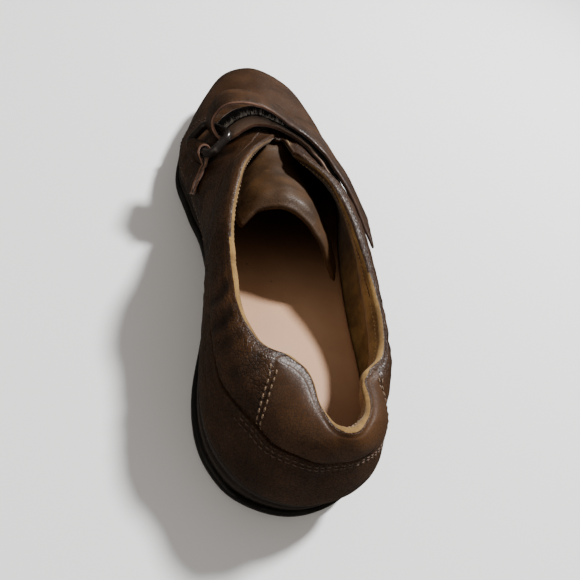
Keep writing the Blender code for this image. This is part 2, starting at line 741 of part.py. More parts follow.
def make_tab(skin, bar, width, made):
    """A strip folded round the ring's lower bar, its two legs flat on the quarter."""
    turn = RING_BAR / 2 + RING_PLAY + TAB / 2
    start = turn * TAB_FREE
    aim = place(*TAB_AIM) - bar
    run = (aim - width * aim.dot(width)).normalized()
    face = width.cross(run)
    if face.dot(skin.find_nearest(bar)[1]) < 0:
        face = -face

    def leg(level):
        found = []
        for k in range(TAB_RUN + 1):
            share = k / TAB_RUN
            spot = bar + run * (start + (TAB_LENGTH - start) * share)
            tip = min((1 - share) * TAB_LENGTH / (TAB_WIDTH / 2), 1.0)
            reach = TAB_WIDTH / 2 * max(math.sqrt(1 - (1 - tip) ** 2), TAB_TIP)
            found.append([settle(skin, spot + width * reach * (2 * j / ACROSS - 1), level)
                          for j in range(ACROSS + 1)])
        return found

    low = leg(GAP * 2 + TAB / 2)
    high = leg(GAP * 3 + TAB * 1.5)
    fold = []
    for k in range(TAB_TURN + 1):
        sweep = math.radians(TAB_WRAP) * (k / TAB_TURN - 0.5)
        swing = (face * math.sin(sweep) - run * math.cos(sweep)) * turn
        fold.append([bar + swing + width * TAB_WIDTH / 2 * (2 * j / ACROSS - 1)
                     for j in range(ACROSS + 1)])
    band("ring_tab", low[::-1] + fold + high, TAB, made)


def centre_on_ground():
    """Moves the pieces so that the origin lies under the middle of the shoe."""
    pieces = [piece for piece in bpy.data.objects if piece.type == "MESH"]
    corners = np.array([vertex.co for piece in pieces for vertex in piece.data.vertices])
    low, high = corners.min(axis=0), corners.max(axis=0)
    shift = Vector((-(low[0] + high[0]) / 2, -(low[1] + high[1]) / 2, -low[2]))
    for piece in pieces:
        piece.data.transform(Matrix.Translation(shift))


def main():
    for old in list(bpy.data.objects):
        bpy.data.objects.remove(old, do_unlink=True)
    leather = material("brown_leather", (0.105, 0.045, 0.020), 0.42)
    rubber = material("black_rubber", (0.012, 0.010, 0.009), 0.6)
    wedge = material("dark_brown_wedge", (0.030, 0.017, 0.012), 0.55)
    tongue_leather = material("smooth_brown_leather", (0.120, 0.052, 0.022), 0.38)
    bed = material("beige_insole", (0.55, 0.40, 0.30), 0.7)
    ring_metal = material("dark_grey_ring", (0.035, 0.030, 0.028), 0.35, 0.6)
    hook = material("black_hook_tape", (0.008, 0.007, 0.007), 0.8)
    loop = material("black_loop_tape", (0.010, 0.009, 0.009), 0.95)
    make_outsole(rubber)
    make_wedge(wedge)
    make_insole(bed)
    skin, lining = make_upper(leather)
    make_tongue(lining, tongue_leather)
    rows, top_bar, width = make_strap(skin, leather)
    make_tape("loop_tape", rows, LOOP_ROWS, loop)
    make_tape("hook_tape", rows, HOOK_ROWS, hook)
    low_bar = make_ring(skin, top_bar, width, ring_metal)
    make_tab(skin, low_bar, width, leather)
    centre_on_ground()


main()
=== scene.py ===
# %% [markdown]
# A leather walking shoe for the right foot, with a strap that turns back through a ring.
#
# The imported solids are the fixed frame. Every visible piece is made again here, finer, from
# the same sizes, so that it lies where its solid lies. X runs to the lateral side, Y from
# heel to toe, Z up, and all lengths are in metres.

# %% Load the frame
import math

import bmesh
import bpy
import numpy as np
from mathutils import Matrix, Vector
from mathutils.bvhtree import BVHTree


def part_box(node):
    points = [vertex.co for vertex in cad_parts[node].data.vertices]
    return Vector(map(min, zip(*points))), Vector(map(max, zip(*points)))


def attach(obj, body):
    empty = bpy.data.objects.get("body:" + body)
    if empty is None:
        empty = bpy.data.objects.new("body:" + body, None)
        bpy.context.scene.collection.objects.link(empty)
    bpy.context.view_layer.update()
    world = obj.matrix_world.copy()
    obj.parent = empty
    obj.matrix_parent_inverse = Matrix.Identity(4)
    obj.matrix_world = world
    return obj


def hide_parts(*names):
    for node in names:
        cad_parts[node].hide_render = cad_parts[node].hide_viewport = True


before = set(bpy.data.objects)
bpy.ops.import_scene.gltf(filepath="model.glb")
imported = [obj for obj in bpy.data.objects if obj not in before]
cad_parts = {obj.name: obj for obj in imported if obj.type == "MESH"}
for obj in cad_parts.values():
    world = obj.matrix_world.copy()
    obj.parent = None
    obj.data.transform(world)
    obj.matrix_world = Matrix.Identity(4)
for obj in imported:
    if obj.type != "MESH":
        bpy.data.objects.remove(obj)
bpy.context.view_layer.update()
print("frame:", sorted(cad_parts))

# %% [markdown]
# A shoe is made round a last, a block in the shape of the foot. Its main sizes are few:
# how long and wide the sole is, how high the collar stands and how thick the sole and the
# leather are. Everything else is given as a share of one of them, so the shoe keeps its
# shape when a size changes.

# %% Main sizes
LENGTH = 0.284
BALL_HALF = 0.053
HEEL_HALF = 0.040
COLLAR_HEIGHT = 0.067
HEEL_THICKNESS = 0.024
BALL_THICKNESS = 0.0145
TOE_SPRING = 0.009
BACK_LIFT = 0.004
ARCH_LIFT = 0.004
OUTSOLE = 0.0062
SOLE_EDGE = 0.0012
WEDGE_INSET = 0.0016
FEATHER_INSET = 0.0014
WALL = 0.0020
INSOLE = 0.0035
GAP = 0.0003

# %% [markdown]
# The outline of the sole is read from a short table: a station along the shoe from 0 at
# the heel to 1 at the toe, then the medial and the lateral edge as shares of the half
# width. A smooth curve runs through the rows. The ends are made round by counting
# stations as an angle, as on a clock face seen from the side. Tables are written in
# thousandths.

# %% Outline and thickness of the sole
def thousandths(table):
    """A table of shares that is written in thousandths."""
    return np.array(table) / 1000


OUTLINE = thousandths((
    (0, 50, 50), (45, -690, 800), (100, -930, 920), (180, -1010, 950), (270, -930, 950),
    (370, -780, 910), (470, -760, 880), (570, -860, 910), (660, -1000, 950), (740, -985, 920),
    (820, -890, 800), (900, -740, 600), (955, -600, 410), (1000, -160, -160),
))
THICKNESS = thousandths((
    (0, 1020, 0), (180, 1000, 0), (340, 660, 340), (480, 260, 740), (640, 0, 1000), (820, 0, 940),
    (1000, 0, 860),
))


def ramp(value, low, high):
    """Rises smoothly from 0 at low to 1 at high."""
    share = np.clip((np.asarray(value, float) - low) / (high - low), 0.0, 1.0)
    return share * share * (3 - 2 * share)


def read(table, column, at):
    """Reads a column of a table between its rows, on a smooth curve."""
    place = np.array([row[0] for row in table], float)
    value = np.array([row[column] for row in table], float)
    slope = np.gradient(value, place)
    at = np.asarray(at, float)
    k = np.clip(np.searchsorted(place, at, side="right") - 1, 0, len(place) - 2)
    span = place[k + 1] - place[k]
    f = (at - place[k]) / span
    start = value[k] * (1 + 2 * f) * (1 - f) ** 2 + slope[k] * span * f * (1 - f) ** 2
    return start + value[k + 1] * f * f * (3 - 2 * f) + slope[k + 1] * span * f * f * (f - 1)


def round_end(table):
    """Gives a table in the angle that makes its ends round, in place of the station."""
    return tuple((math.acos(1 - 2 * row[0]) / math.pi,) + tuple(row[1:]) for row in table)


def vectors(x, y, z):
    return np.stack(np.broadcast_arrays(x, y, z), -1).astype(float)


def unit(array):
    return array / np.maximum(np.linalg.norm(array, axis=-1, keepdims=True), 1e-12)


def half_width(station):
    return HEEL_HALF + (BALL_HALF - HEEL_HALF) * ramp(station, 0.25, 0.60)


def to_y(station):
    return (np.asarray(station, float) - 0.5) * LENGTH


def station_of(points):
    return np.clip(points[..., 1] / LENGTH + 0.5, 0.0, 1.0)


def outline_at(angle, side):
    """Points on the outline: angle 0 at the heel, 1 at the toe; side 1 medial, 2 lateral."""
    station = (1 - np.cos(np.pi * np.asarray(angle, float))) / 2
    x = read(round_end(OUTLINE), side, angle) * half_width(station)
    return vectors(x, to_y(station), 0.0)


def outward(angle, side):
    """Unit normals of the outline, pointing away from the foot."""
    angle = np.asarray(angle, float)
    step = 0.004
    ahead, behind = np.minimum(angle + step, 1), np.maximum(angle - step, 0)
    run = outline_at(ahead, side) - outline_at(behind, side)
    way = -1 if side == 1 else 1
    turned = unit(vectors(way * run[..., 1], -way * run[..., 0], 0.0))
    turned[angle < 1e-6] = (0, -1, 0)
    turned[angle > 1 - 1e-6] = (0, 1, 0)
    return turned


def inset_at(angle, side, inset):
    return outline_at(angle, side) - outward(angle, side) * inset


def sole_bottom(station):
    back = BACK_LIFT * (1 - ramp(station, 0.0, 0.05))
    arch = ARCH_LIFT * ramp(station, 0.33, 0.42) * (1 - ramp(station, 0.48, 0.57))
    return back + arch + toe_rise(station)


def toe_rise(station):
    return TOE_SPRING * np.maximum((np.asarray(station, float) - 0.72) / 0.28, 0.0) ** 2


def sole_top(station):
    heel = read(THICKNESS, 1, station) * HEEL_THICKNESS
    return heel + read(THICKNESS, 2, station) * BALL_THICKNESS + toe_rise(station)


edge = np.concatenate([outline_at(np.linspace(0, 1, 41), side) for side in (1, 2)])
low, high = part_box("outsole")
SHIFT = np.array([(low.x + high.x - edge[:, 0].min() - edge[:, 0].max()) / 2,
                  (low.y + high.y - edge[:, 1].min() - edge[:, 1].max()) / 2, 0.0])
print("the tables' origin lies at", SHIFT.round(4), "in the frame")

# %% [markdown]
# Two helpers turn grids of points into meshes. A real piece has thickness and closed
# edges, so every mesh here is closed: a tube of loops with its ends filled, or a sheet
# with a face, a back and a border. Each point may carry a few painted values, such as
# how deep in a crease it lies, which the materials read later.

# %% Mesh helpers
def finish_mesh(name, node, points, faces, materials, slots=None, painted=None, sharp=None):
    """Makes a smooth piece with its painted values, which stands for its solid and takes the
    slot's finish."""
    mesh = bpy.data.meshes.new(name)
    mesh.from_pydata([tuple(p) for p in np.asarray(points, float) + SHIFT], [], faces)
    for made in materials:
        mesh.materials.append(made)
    if slots is not None:
        mesh.polygons.foreach_set("material_index", np.asarray(slots, np.int32))
    for label, values in (painted or {}).items():
        attribute = mesh.attributes.new(label, "FLOAT", "POINT")
        attribute.data.foreach_set("value", np.asarray(values, np.float32))
    mesh.validate()
    bm = bmesh.new()
    bm.from_mesh(mesh)
    bmesh.ops.recalc_face_normals(bm, faces=bm.faces)
    bm.to_mesh(mesh)
    bm.free()
    mesh.shade_smooth()
    if sharp:
        mesh.set_sharp_from_angle(angle=math.radians(sharp))
    piece = bpy.data.objects.new(name, mesh)
    bpy.context.scene.collection.objects.link(piece)
    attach(piece, "root")
    if node:
        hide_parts(node)
    print(name, "made with", sum(len(face.vertices) - 2 for face in mesh.polygons), "triangles")


def tube_faces(loops, count, closed):
    """Faces that join closed loops of count points each, one after the other."""
    faces = []
    for low in range(loops if closed else loops - 1):
        high = (low + 1) % loops
        for k in range(count):
            n = (k + 1) % count
            faces.append((low * count + k, low * count + n, high * count + n, high * count + k))
    return faces


def sheet_faces(rows, count, start=0):
    """Faces of a grid of rows with count points each."""
    return [(start + i * count + j, start + i * count + j + 1,
             start + (i + 1) * count + j + 1, start + (i + 1) * count + j)
            for i in range(rows - 1) for j in range(count - 1)]


# %% [markdown]
# The leather is pulled over the last and drawn down to the sole. Its shape can be given
# by lines that run from the feather, where upper and sole meet, up to the topline. Each
# line is one bent curve with four points, and its place and bulge come from tables. A
# turn counts the lines from 0 at the heel, over the medial side to 1 at the toe, and
# back over the lateral side to 2.

# %% Lines of the last
MEDIAL_TOP = thousandths((
    (0, 100, 62, 975), (20, -25, 76, 930), (42, -100, 99, 900), (64, -165, 130, 895),
    (82, -270, 147, 900), (105, -410, 158, 910), (135, -560, 173, 900), (180, -700, 215, 895),
    (250, -760, 271, 905), (320, -770, 327, 940), (390, -745, 373, 1015), (450, -660, 419, 1070),
    (505, -550, 468, 1082), (545, -410, 512, 1060), (572, -285, 546, 1022), (600, -245, 560, 992),
    (660, -222, 574, 960), (800, -196, 594, 910), (1000, -115, 602, 880),
))
LATERAL_TOP = thousandths((
    (0, 100, 62, 975), (20, 250, 70, 945), (42, 375, 88, 903), (64, 450, 109, 858),
    (85, 490, 138, 815), (110, 620, 158, 806), (145, 725, 180, 804), (200, 785, 212, 803),
    (260, 810, 257, 812), (320, 740, 310, 850), (380, 585, 373, 930), (430, 420, 430, 998),
    (480, 245, 482, 1030), (522, 40, 513, 1022), (555, 0, 528, 998), (640, -15, 552, 955),
    (800, -40, 590, 905), (1000, -115, 602, 880),
))
MEDIAL_SHAPE = thousandths((
    (0, 240, 0, 60, 320), (45, 380, 15, 210, 60), (105, 420, 30, 190, 80),
    (180, 400, 50, 90, 150), (250, 380, 110, 60, 220), (370, 340, 190, 70, 250),
    (450, 300, 170, 100, 270), (505, 290, 120, 150, 260), (572, 300, 70, 260, 190),
    (660, 300, 45, 320, 160), (780, 360, 35, 520, 190), (900, 500, 30, 860, 240),
    (1000, 740, 30, 1050, 250),
))
LATERAL_SHAPE = thousandths((
    (0, 240, 0, 60, 320), (45, 380, 0, 110, 100), (85, 440, 15, 130, 80), (145, 420, 40, 80, 110),
    (260, 380, 100, 70, 150), (380, 340, 90, 180, 150), (480, 300, 45, 260, 150),
    (522, 300, 35, 300, 120), (660, 300, 30, 400, 150), (780, 380, 35, 600, 190),
    (900, 520, 30, 880, 240), (1000, 740, 30, 1050, 250),
))
COLLAR = thousandths((
    (0, 700, 950, 2000), (18, 650, 1000, 2000), (45, 545, 1050, 2100), (80, 500, 1100, 2200),
    (125, 500, 1050, 2200), (180, 540, 950, 2000), (370, 580, 750, 1500), (450, 660, 600, 1000),
    (505, 760, 350, 500), (545, 820, 120, 150), (572, 840, 0, 0), (1000, 840, 0, 0),
))
LINES_A_SIDE = 360


def last_lines(angle, side):
    """The four points that shape each line of the last, from the sole to the top."""
    top = round_end(MEDIAL_TOP if side == 1 else LATERAL_TOP)
    shape = round_end(MEDIAL_SHAPE if side == 1 else LATERAL_SHAPE)
    foot = inset_at(angle, side, FEATHER_INSET + WALL)
    foot[:, 2] = sole_top(station_of(foot)) + GAP
    y_share = read(top, 2, angle)
    end = vectors(read(top, 1, angle) * half_width(y_share), to_y(y_share),
                  read(top, 3, angle) * COLLAR_HEIGHT)
    away = outward(angle, side)
    fan = (foot - end) * (1, 1, 0)
    spread = ramp(np.linalg.norm(fan, axis=1), 0.3 * HEEL_HALF, 1.1 * BALL_HALF)[:, None]
    lean = unit(away * (1 - spread) + unit(fan) * spread)
    second = foot + away * read(shape, 2, angle)[:, None] * BALL_HALF
    second[:, 2] += read(shape, 1, angle) * (end[:, 2] - foot[:, 2])
    third = end + lean * read(shape, 3, angle)[:, None] * BALL_HALF
    third[:, 2] -= read(shape, 4, angle) * BALL_HALF
    return np.stack([foot, second, third, end], 1)


side_angles = np.linspace(0, 1, LINES_A_SIDE + 1)
LINES = np.concatenate([last_lines(side_angles, 1), last_lines(side_angles[-2::-1], 2)])


def angle_of(turn):
    turn = np.mod(turn, 2.0)
    return np.where(turn <= 1, turn, 2 - turn)


def last_point(turn, share):
    """Points of the last at a turn and at a share of the way from sole to topline."""
    place = np.mod(turn, 2.0) * LINES_A_SIDE
    k = np.minimum(place.astype(int), 2 * LINES_A_SIDE - 1)
    f = (place - k)[..., None, None]
    line = LINES[k] * (1 - f) + LINES[k + 1] * f
    s = np.asarray(share, float)[..., None]
    g = 1 - s
    return (line[..., 0, :] * g ** 3 + line[..., 1, :] * 3 * g * g * s
            + line[..., 2, :] * 3 * g * s * s + line[..., 3, :] * s ** 3)


def last_normal(turn, share):
    """Unit normals of the last, pointing away from the foot."""
    turn, share = np.broadcast_arrays(np.asarray(turn, float), np.asarray(share, float))
    around = last_point(turn + 0.006, share) - last_point(turn - 0.006, share)
    above, below = np.minimum(share + 0.02, 1), np.maximum(share - 0.02, 0)
    up = last_point(turn, above) - last_point(turn, below)
    return unit(np.cross(up, around))


def collar_start(turn):
    return read(round_end(COLLAR), 1, angle_of(turn))


print("lines of the last:", len(LINES))

# %% [markdown]
# Creases come from use. The foot bends behind the toes, so the leather gathers there in
# soft troughs with a ridge on each side, and the quarters and the collar are grained
# deeper. The main creases are given as short lines on the leather, each with its depth
# and width. Finer wrinkles are a noise that is stronger where the leather is soft. All
# of it moves the surface itself, so it shows in the outline too.

# %% Relief of the leather
QUARTER_STEP = 0.0011
COLLAR_DIP, COLLAR_DIP_HALF = 0.0012, 0.028
PANEL_DENT, PANEL_DENT_HALF = 0.00035, 0.0030
WRINKLES = ((0.0075, 3, 0.00020), (0.0038, 5, 0.00009))    # size, seed, height
MEDIAL_SEAM = 0.770
LATERAL_SEAM = 0.528
SEAM_SLOPE = 0.0014
MEDIAL_TURN = math.acos(1 - 2 * MEDIAL_SEAM) / math.pi
LATERAL_TURN = 2 - math.acos(1 - 2 * LATERAL_SEAM) / math.pi
PANEL_TURNS = (0.186, 1.814)
MEDIAL_SLOPE, LATERAL_SLOPE, SEAM_MIDDLE = 0.100, -0.040, 0.30
PANEL_SLOPE, PANEL_MIDDLE = 0.120, 0.76
# Seams that lean: turn at the middle, change of turn for a whole share, that middle, reach
SLANTS = (
    (MEDIAL_TURN, MEDIAL_SLOPE, SEAM_MIDDLE, 0.060),
    (LATERAL_TURN, LATERAL_SLOPE, SEAM_MIDDLE, 0.050),
    (PANEL_TURNS[0], PANEL_SLOPE, PANEL_MIDDLE, 0.050),
    (PANEL_TURNS[1], -PANEL_SLOPE, PANEL_MIDDLE, 0.050),
)
# Each crease: depth and half width in millimetres, then its points as turn and share
CREASES = (
    (0.55, 3.2, (0.64, 0.3), (0.655, 0.48), (0.69, 0.66)),
    (0.4, 2.6, (0.6, 0.24), (0.612, 0.4), (0.64, 0.58)),
    (0.45, 3, (0.56, 0.32), (0.566, 0.5), (0.56, 0.68)),
    (0.35, 2.2, (0.5, 0.3), (0.515, 0.46), (0.505, 0.62)),
    (0.4, 2.6, (0.44, 0.26), (0.425, 0.42), (0.432, 0.56)),
    (0.3, 2, (0.38, 0.34), (0.392, 0.46), (0.38, 0.56)),
    (0.45, 2.8, (0.33, 0.66), (0.322, 0.8), (0.33, 0.94)),
    (0.4, 2.4, (0.29, 0.64), (0.284, 0.8), (0.294, 0.95)),
    (0.3, 2, (0.265, 0.66), (0.258, 0.8), (0.262, 0.92)),
    (0.35, 2.2, (0.225, 0.66), (0.218, 0.78), (0.226, 0.9)),
    (0.55, 3.4, (1.33, 0.24), (1.318, 0.42), (1.3, 0.62)),
    (0.45, 2.8, (1.385, 0.26), (1.372, 0.44), (1.36, 0.62)),
    (0.4, 2.6, (1.44, 0.28), (1.432, 0.46), (1.436, 0.64)),
    (0.35, 2.2, (1.5, 0.3), (1.506, 0.46), (1.498, 0.6)),
    (0.35, 2.4, (1.64, 0.66), (1.65, 0.8), (1.64, 0.94)),
    (0.3, 2.2, (1.69, 0.64), (1.7, 0.8), (1.694, 0.94)),
    (0.35, 3, (1.26, 0.5), (1.25, 0.66), (1.235, 0.8)),
    (0.3, 2.6, (0.745, 0.52), (0.76, 0.66), (0.785, 0.8)),
)


def to_line(points, line):
    """Distance of each point to a line of points."""
    nearest = np.full(points.shape[:-1], 1.0)
    for a, b in zip(line, line[1:]):
        run = b - a
        f = np.clip(((points - a) @ run) / max(run @ run, 1e-12), 0, 1)
        nearest = np.minimum(nearest, np.linalg.norm(points - a - f[..., None] * run, axis=-1))
    return nearest


def waves(points, scale, seed, count=14):
    """A smooth noise with no grid of its own: many plane waves in seeded directions."""
    draw = np.random.default_rng(seed)
    total = np.zeros(points.shape[:-1])
    for _ in range(count):
        direction = unit(draw.normal(size=3)) * 2 * math.pi / (scale * draw.uniform(0.7, 1.5))
        total += np.sin(points @ direction + draw.uniform(0, 2 * math.pi))
    return total / math.sqrt(count / 2) * 0.5


def crease_field(points):
    """How deep the creases run at each point, in metres, troughs below zero."""
    total = np.zeros(points.shape[:-1])
    for depth, half, *spots in CREASES:
        a, b, c = last_point(*np.array(spots).T)
        bent = [a * (1 - f) ** 2 + (2 * b - (a + c) / 2) * 2 * f * (1 - f) + c * f * f
                for f in np.linspace(0, 1, 9)]
        near = to_line(points, np.array(bent)) / (half / 1000)
        total += depth / 1000 * (-np.exp(-near ** 2) + 0.45 * np.exp(-((near - 1.7) / 0.8) ** 2))
    return total


def soft(turn):
    """How soft and wrinkled the leather is: 0 on the stiff toe and heel cap, 1 on the quarters."""
    angle = angle_of(turn)
    toe = 1 - ramp(angle, 0.62, 0.80)
    heel = 0.35 + 0.65 * ramp(angle, 0.16, 0.26)
    return toe * heel + 0.12


def relief(turn, share, points):
    """Height of the leather's face over the wall at each point."""
    angle = angle_of(turn)
    start = collar_start(turn)
    up = (share - start) / (1 - start)
    hump = np.sin(np.pi * np.clip(up, 0, 1)) ** 0.55
    swell = read(round_end(COLLAR), 2, angle) * WALL * hump
    medial = np.mod(turn, 2) <= 1
    seam = np.where(medial, MEDIAL_TURN + MEDIAL_SLOPE * (share - SEAM_MIDDLE),
                    2 - LATERAL_TURN - LATERAL_SLOPE * (share - SEAM_MIDDLE))
    in_front = ramp(angle, seam - SEAM_SLOPE, seam + SEAM_SLOPE)
    step = QUARTER_STEP * (1 - in_front) * ramp(share, 0.0, 0.08)
    panel = PANEL_TURNS[0] + PANEL_SLOPE * (share - PANEL_MIDDLE)
    dent = PANEL_DENT * np.exp(-((angle - panel) / PANEL_DENT_HALF) ** 2) * ramp(up, -0.02, 0.06)
    dip = COLLAR_DIP * np.exp(-(up / COLLAR_DIP_HALF) ** 2) * (1 - ramp(angle, 0.60, 0.66))
    wrinkles = sum(waves(points, size, seed) * height for size, seed, height in WRINKLES)
    fold = crease_field(points) + wrinkles * soft(turn)
    calm = 1 - 0.6 * ramp(share, 0.93, 1.0)
    return swell + step - dip - dent + fold * ramp(share, 0.0, 0.10) * calm


def slanted(turn, share):
    """Leans the columns near each seam, so that a column runs along the seam."""
    leaned = np.array(turn, float)
    for seam, slope, middle, reach in SLANTS:
        near = np.exp(-((np.mod(turn, 2.0) - seam) / reach) ** 2)
        leaned = leaned + slope * (share - middle) * near
    return leaned


def outside(turn, share, height=0.0):
    """Points on the leather's face, or a height over it, with the face's normals."""
    turn, share = np.broadcast_arrays(np.asarray(turn, float), np.asarray(share, float))
    points = last_point(turn, share)
    normal = last_normal(turn, share)
    raised = points + normal * (WALL + relief(turn, share, points) + height)[..., None]
    return raised, normal


# %% [markdown]
# The upper is one closed wall. Its face runs up from the feather to the topline, rolls
# over the edge and comes down inside as the lining. Rows of points lie closer together
# at the groove under the collar and at the roll, because a crisp line needs points on
# both sides of it, and columns lie close at the two seams for the same reason.

# %% The upper
ROLL = 5
BINDING_START = 0.30
BINDING_FULL = 0.48
BINDING_END = 0.86
THROAT_TIP = 0.14         # half the stretch of turns round the throat's tip
EVEN_TOE, EVEN_HEEL, EVEN_PASSES = 0.022, 0.026, 14
turns = set(np.linspace(0, 2, 321)[:-1].round(6))
for seam_turn in (MEDIAL_TURN, LATERAL_TURN, *PANEL_TURNS):
    turns = {t for t in turns if abs(t - seam_turn) > 0.003}
    turns |= {round(seam_turn + d, 6) for d in (-0.0034, -0.0013, 0.0, 0.0013, 0.0034)}
TURNS = np.array(sorted(turns))
below = np.concatenate([np.linspace(0, 0.94, 46), [0.958, 0.972, 0.984, 0.993, 1.0]])
within = np.concatenate([[0.012, 0.028, 0.05, 0.08], np.linspace(0.12, 0.94, 17), [0.975, 1.0]])
starts = collar_start(TURNS)
shares = np.concatenate([starts * below[:, None], starts + (1 - starts) * within[:, None]])
face_turns = slanted(np.broadcast_to(TURNS, shares.shape), shares)
starts_there = collar_start(face_turns)
shares = np.where(shares < starts, shares / starts * starts_there,
                  1 - (1 - shares) / (1 - starts) * (1 - starts_there))
face = outside(face_turns, shares)[0]
near_ends = np.maximum(np.exp(-((TURNS - 1) / EVEN_TOE) ** 2),
                       np.exp(-(np.minimum(TURNS, 2 - TURNS) / EVEN_HEEL) ** 2))[None, :, None]
for _ in range(EVEN_PASSES):
    evened = (np.roll(face, 1, 1) + np.roll(face, -1, 1)) / 2
    face = face + near_ends * (evened - face) * 0.5
for side, its in ((1, TURNS <= 1), (2, TURNS > 1)):
    face[0, its, :2] = inset_at(angle_of(TURNS[its]), side, FEATHER_INSET)[:, :2]

inner_up = np.concatenate([np.linspace(1, 0.9, 5), np.linspace(0.86, 0.0, 30)])
inner_shares = np.broadcast_to(inner_up[:, None], (len(inner_up), len(TURNS)))
inner_turns = np.broadcast_to(TURNS, inner_shares.shape)
inner_base = last_point(inner_turns, inner_shares)
inner_high = (inner_shares - starts) / (1 - starts)
padding = read(round_end(COLLAR), 3, angle_of(inner_turns)) * WALL
padding = padding * ramp(inner_high, -0.5, 0.45) * (1 - ramp(inner_high, 0.6, 1.15))
lining_wrinkles = waves(inner_base, 0.009, 11) * 0.00022 * ramp(inner_shares, 0.1, 0.4)
deep = (padding - lining_wrinkles)[..., None]
inside = inner_base - last_normal(inner_turns, inner_shares) * deep

at_top, under_top = (last_point(TURNS, np.full(len(TURNS), share)) for share in (1.0, 0.97))
rise = unit(at_top - under_top)
middle = (face[-1] + inside[0]) / 2
across = (face[-1] - inside[0]) / 2
reach = np.linalg.norm(across, axis=1, keepdims=True)
roll = [middle + across * math.cos(a) + rise * reach * 0.9 * math.sin(a)
        for a in np.linspace(0, math.pi, ROLL + 2)[1:-1]]
loops = np.concatenate([face, np.array(roll), inside])
faces = tube_faces(len(loops), len(TURNS), True)
face_rows = len(face)
# 0 grained leather, 1 smooth leather of the heel collar, 2 ochre lining, 3 brown binding
row_of_face = np.array([f[0] // len(TURNS) for f in faces])
turn_of_face = TURNS[np.array([f[0] % len(TURNS) for f in faces])]
round_shoe = angle_of(turn_of_face)
first_gold = face_rows + np.where(round_shoe > (BINDING_START + BINDING_FULL) / 2, 2, 1)
last_gold = face_rows + np.interp(round_shoe, (BINDING_START, BINDING_FULL), (ROLL + 1, 2)).round()
slots = np.where(row_of_face < first_gold, 0, 2)
slots = np.where((row_of_face > last_gold) & (row_of_face < face_rows + ROLL + 1), 3, slots)
slots = np.where((round_shoe > BINDING_END) & (row_of_face >= first_gold) & (slots == 2)
                 & (row_of_face < face_rows + ROLL + 1), 3, slots)
rest = (len(loops) - face_rows) * len(TURNS)
# The crease depth is painted on the points as fold; the leather finish paints the troughs darker
# from it, a painted shade.
creased = crease_field(last_point(face_turns, shares)).ravel() * 1800
fold_paint = np.concatenate([creased, np.zeros(rest)])
soft_paint = np.concatenate([soft(face_turns).ravel(), np.ones(rest)])
print("upper:", len(loops), "rows of", len(TURNS), "points")

# %% [markdown]
# A finish is a small tree of nodes that ends in one shader. Colour varies on two scales,
# a slow one for uneven dye and a quick one for the grain. The grain of leather is a net
# of fine valleys round small pebbles, which a Voronoi pattern gives when its cells are
# shaded by the distance to their edge. It is bent by a noise first, so that no pebble
# has straight sides. The same pattern drives bump and gloss.

# %% Leather finish
class Finish:
    """A material in the making, with short names for the nodes that are used often."""

    def __init__(self, name, roughness, **fixed):
        self.made = bpy.data.materials.new(name)
        self.made.use_nodes = True
        self.tree = self.made.node_tree
        self.shader = self.tree.nodes["Principled BSDF"]
        self.place = self.node("TexCoord").outputs["Object"]
        for socket, value in {"Roughness": roughness, **fixed}.items():
            self.put(socket.replace("_", " "), value)

    def put(self, socket, value, added=None):
        """Sets or links an input of the shader, or of another node."""
        entry = (self.shader if added is None else added).inputs[socket]
        if isinstance(value, bpy.types.NodeSocket):
            self.tree.links.new(value, entry)
        else:
            entry.default_value = value

    def node(self, kind, inputs=(), **settings):
        added = self.tree.nodes.new("ShaderNode" + kind)
        for key, value in settings.items():
            setattr(added, key, value)
        for socket, value in dict(inputs).items():
            self.put(socket, value, added)
        return added

    def noise(self, scale, detail, **more):
        inputs = {"Vector": self.place, "Scale": scale, "Detail": detail, **more}
        return self.node("TexNoise", inputs).outputs["Fac"]

    def cells(self, scale, at=None, feature="F1"):
        inputs = {"Vector": at or self.place, "Scale": scale}
        return self.node("TexVoronoi", inputs, feature=feature).outputs

    def painted(self, label):
        return self.node("Attribute", attribute_name=label).outputs["Fac"]

    def math(self, first, second, how="ADD", kind="Math"):
        return self.node(kind, {0: first, 1: second}, operation=how).outputs[0]

    def blend(self, low_to, high_to, value, low=0.0, high=1.0):
        """Maps a value smoothly from one range to another."""
        inputs = {"Value": value, "From Min": low, "From Max": high, "To Min": low_to,
                  "To Max": high_to}
        return self.node("MapRange", inputs, interpolation_type="SMOOTHSTEP").outputs["Result"]

    def mix(self, factor, first, second, how="MIX"):
        """Mixes two colours by a factor."""
        first, second = (c if isinstance(c, bpy.types.NodeSocket) else (*c, 1)
                         for c in (first, second))
        return self.node("Mix", {0: factor, 6: first, 7: second}, data_type="RGBA",
                         blend_type=how).outputs[2]

    def fade(self, colour, axis, start, end, to_colour):
        """Changes a colour along one axis of the object, from a start to an end in metres."""
        along_axis = self.node("SeparateXYZ", {0: self.place}).outputs[axis]
        return self.mix(self.blend(0.0, 1.0, along_axis, start, end), colour, to_colour)

    def bump(self, strength, distance, height, *under):
        """Bends the normals by a height, over the bump that lies under it."""
        inputs = {"Strength": strength, "Distance": distance, "Height": height}
        return self.node("Bump", {**inputs, **dict(zip(("Normal",), under))}).outputs[0]

    def done(self, colour, normal):
        self.put("Base Color", colour)
        self.put("Normal", normal)
        return self.made


